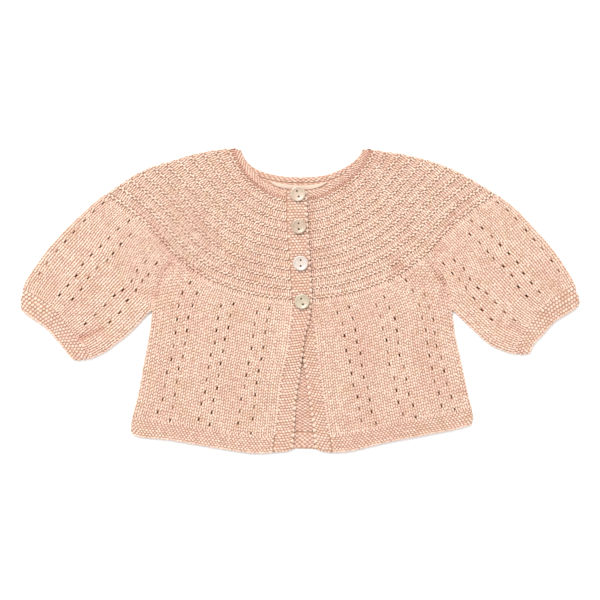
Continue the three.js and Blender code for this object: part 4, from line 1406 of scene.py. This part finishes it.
front("right_front", RIGHT, RIGHT_FRONT_EYELETS, 11)
front("left_front", LEFT, LEFT_FRONT_EYELETS, 12)
front_hem("right_front_hem", RIGHT, 13)
front_hem("left_front_hem", LEFT, 14)
back()
back_hem()
yoke()
neckband()
sleeve("right_sleeve", RIGHT, 61)
sleeve("left_sleeve", LEFT, 62)
cuff("right_cuff", RIGHT, 63)
cuff("left_cuff", LEFT, 64)
band("buttonhole_band", buttonhole_band_panel(), band_rise, free_side=1, first_ridge=0, stitches_across=6,
     seed=71, buttonholes=True)
band("button_band", button_band_panel(), soft, free_side=0, first_ridge=21, stitches_across=5, seed=72)
neck_tape()
for number, (x, y, turn) in enumerate(BUTTONS):
    button(number, x, y, turn)

# Sheets: node, flat size in metres (across or all round, then long), what it lies on, its area where that
# isn't width times length, and other nodes that are part of it
SHEETS = [
    ("yoke", (0.74, 0.117), ["back", "left_front", "right_front"], 0.051, ["neckband", "neck_tape"]),
    ("back", (0.262, 0.128), [], None, []),
    ("back_hem", (0.29, 0.014), [], None, []),
    ("right_front", (0.121, 0.126), ["back"], None, []),
    ("left_front", (0.121, 0.122), ["back"], None, []),
    ("right_front_hem", (0.122, 0.014), ["back_hem"], None, []),
    ("left_front_hem", (0.122, 0.014), ["back_hem"], None, []),
    ("right_sleeve", (0.18, 0.108), [], None, []),
    ("left_sleeve", (0.18, 0.105), [], None, []),
    ("right_cuff", (0.15, 0.013), [], None, []),
    ("left_cuff", (0.15, 0.013), [], None, []),
    ("buttonhole_band", (0.0155, 0.216), ["button_band"], None, []),
    ("button_band", (0.0135, 0.216), ["back"], None, []),
]


def declare_sheets():
    for name, flat, under, area, others in SHEETS:
        sheet, parts = pieces[name]
        for other in others:
            parts = [*parts, pieces[other][0], *pieces[other][1]]


# Floor, light and camera

FLOOR_REACH = 3000  # from its middle to each edge
FLOOR_DROP = 0.2  # below the surface that the cardigan lies on


def matt_paint(name, colour, roughness):
    """Matt paint, as on a studio floor."""
    material, tree = new_material(name)
    surface = add_node(tree, "ShaderNodeBsdfPrincipled",
                       values={"Base Color": linear(colour), "Roughness": roughness})
    add_node(tree, "ShaderNodeOutputMaterial", links={"Surface": surface.outputs[0]})
    return material


corners = [(x * FLOOR_REACH, y * FLOOR_REACH, -FLOOR_DROP) for x, y in ((-1, -1), (1, -1), (1, 1), (-1, 1))]
floor = mesh_object("floor", corners, [(0, 1, 2, 3)])
floor.data.materials.append(matt_paint("studio_floor", "fbfbfb", 0.9))
declare_sheets()


def area_light(name, place, target, size, power):
    """A square soft box turned to its target. Metres and watts."""
    light = bpy.data.lights.new(name, "AREA")
    light.shape = "SQUARE"
    light.size = size
    light.energy = power
    lamp = bpy.data.objects.new(name, light)
    lamp.location = place
    lamp.rotation_euler = (Vector(target) - Vector(place)).to_track_quat("-Z", "Y").to_euler()
    bpy.context.scene.collection.objects.link(lamp)


area_light("window", (-0.5, 1.1, 1.9), (0, 0, 0), size=1.1, power=55)

world = bpy.data.worlds.new("studio")
world.use_nodes = True
world.node_tree.nodes["Background"].inputs["Color"].default_value = (1, 1, 1, 1)
world.node_tree.nodes["Background"].inputs["Strength"].default_value = 1.08
bpy.context.scene.world = world

# The camera looks straight down and takes in 492 mm at the height of the cloth, as the photograph does
camera = bpy.data.cameras.new("overhead")
camera.sensor_width = 36
camera.lens = 116.7
camera.clip_end = 20
eye = bpy.data.objects.new("overhead", camera)
eye.location = (0, 0, 1.6)
bpy.context.scene.collection.objects.link(eye)
bpy.context.scene.camera = eye
bpy.context.scene.view_settings.view_transform = "Standard"
bpy.context.scene.view_settings.look = "None"
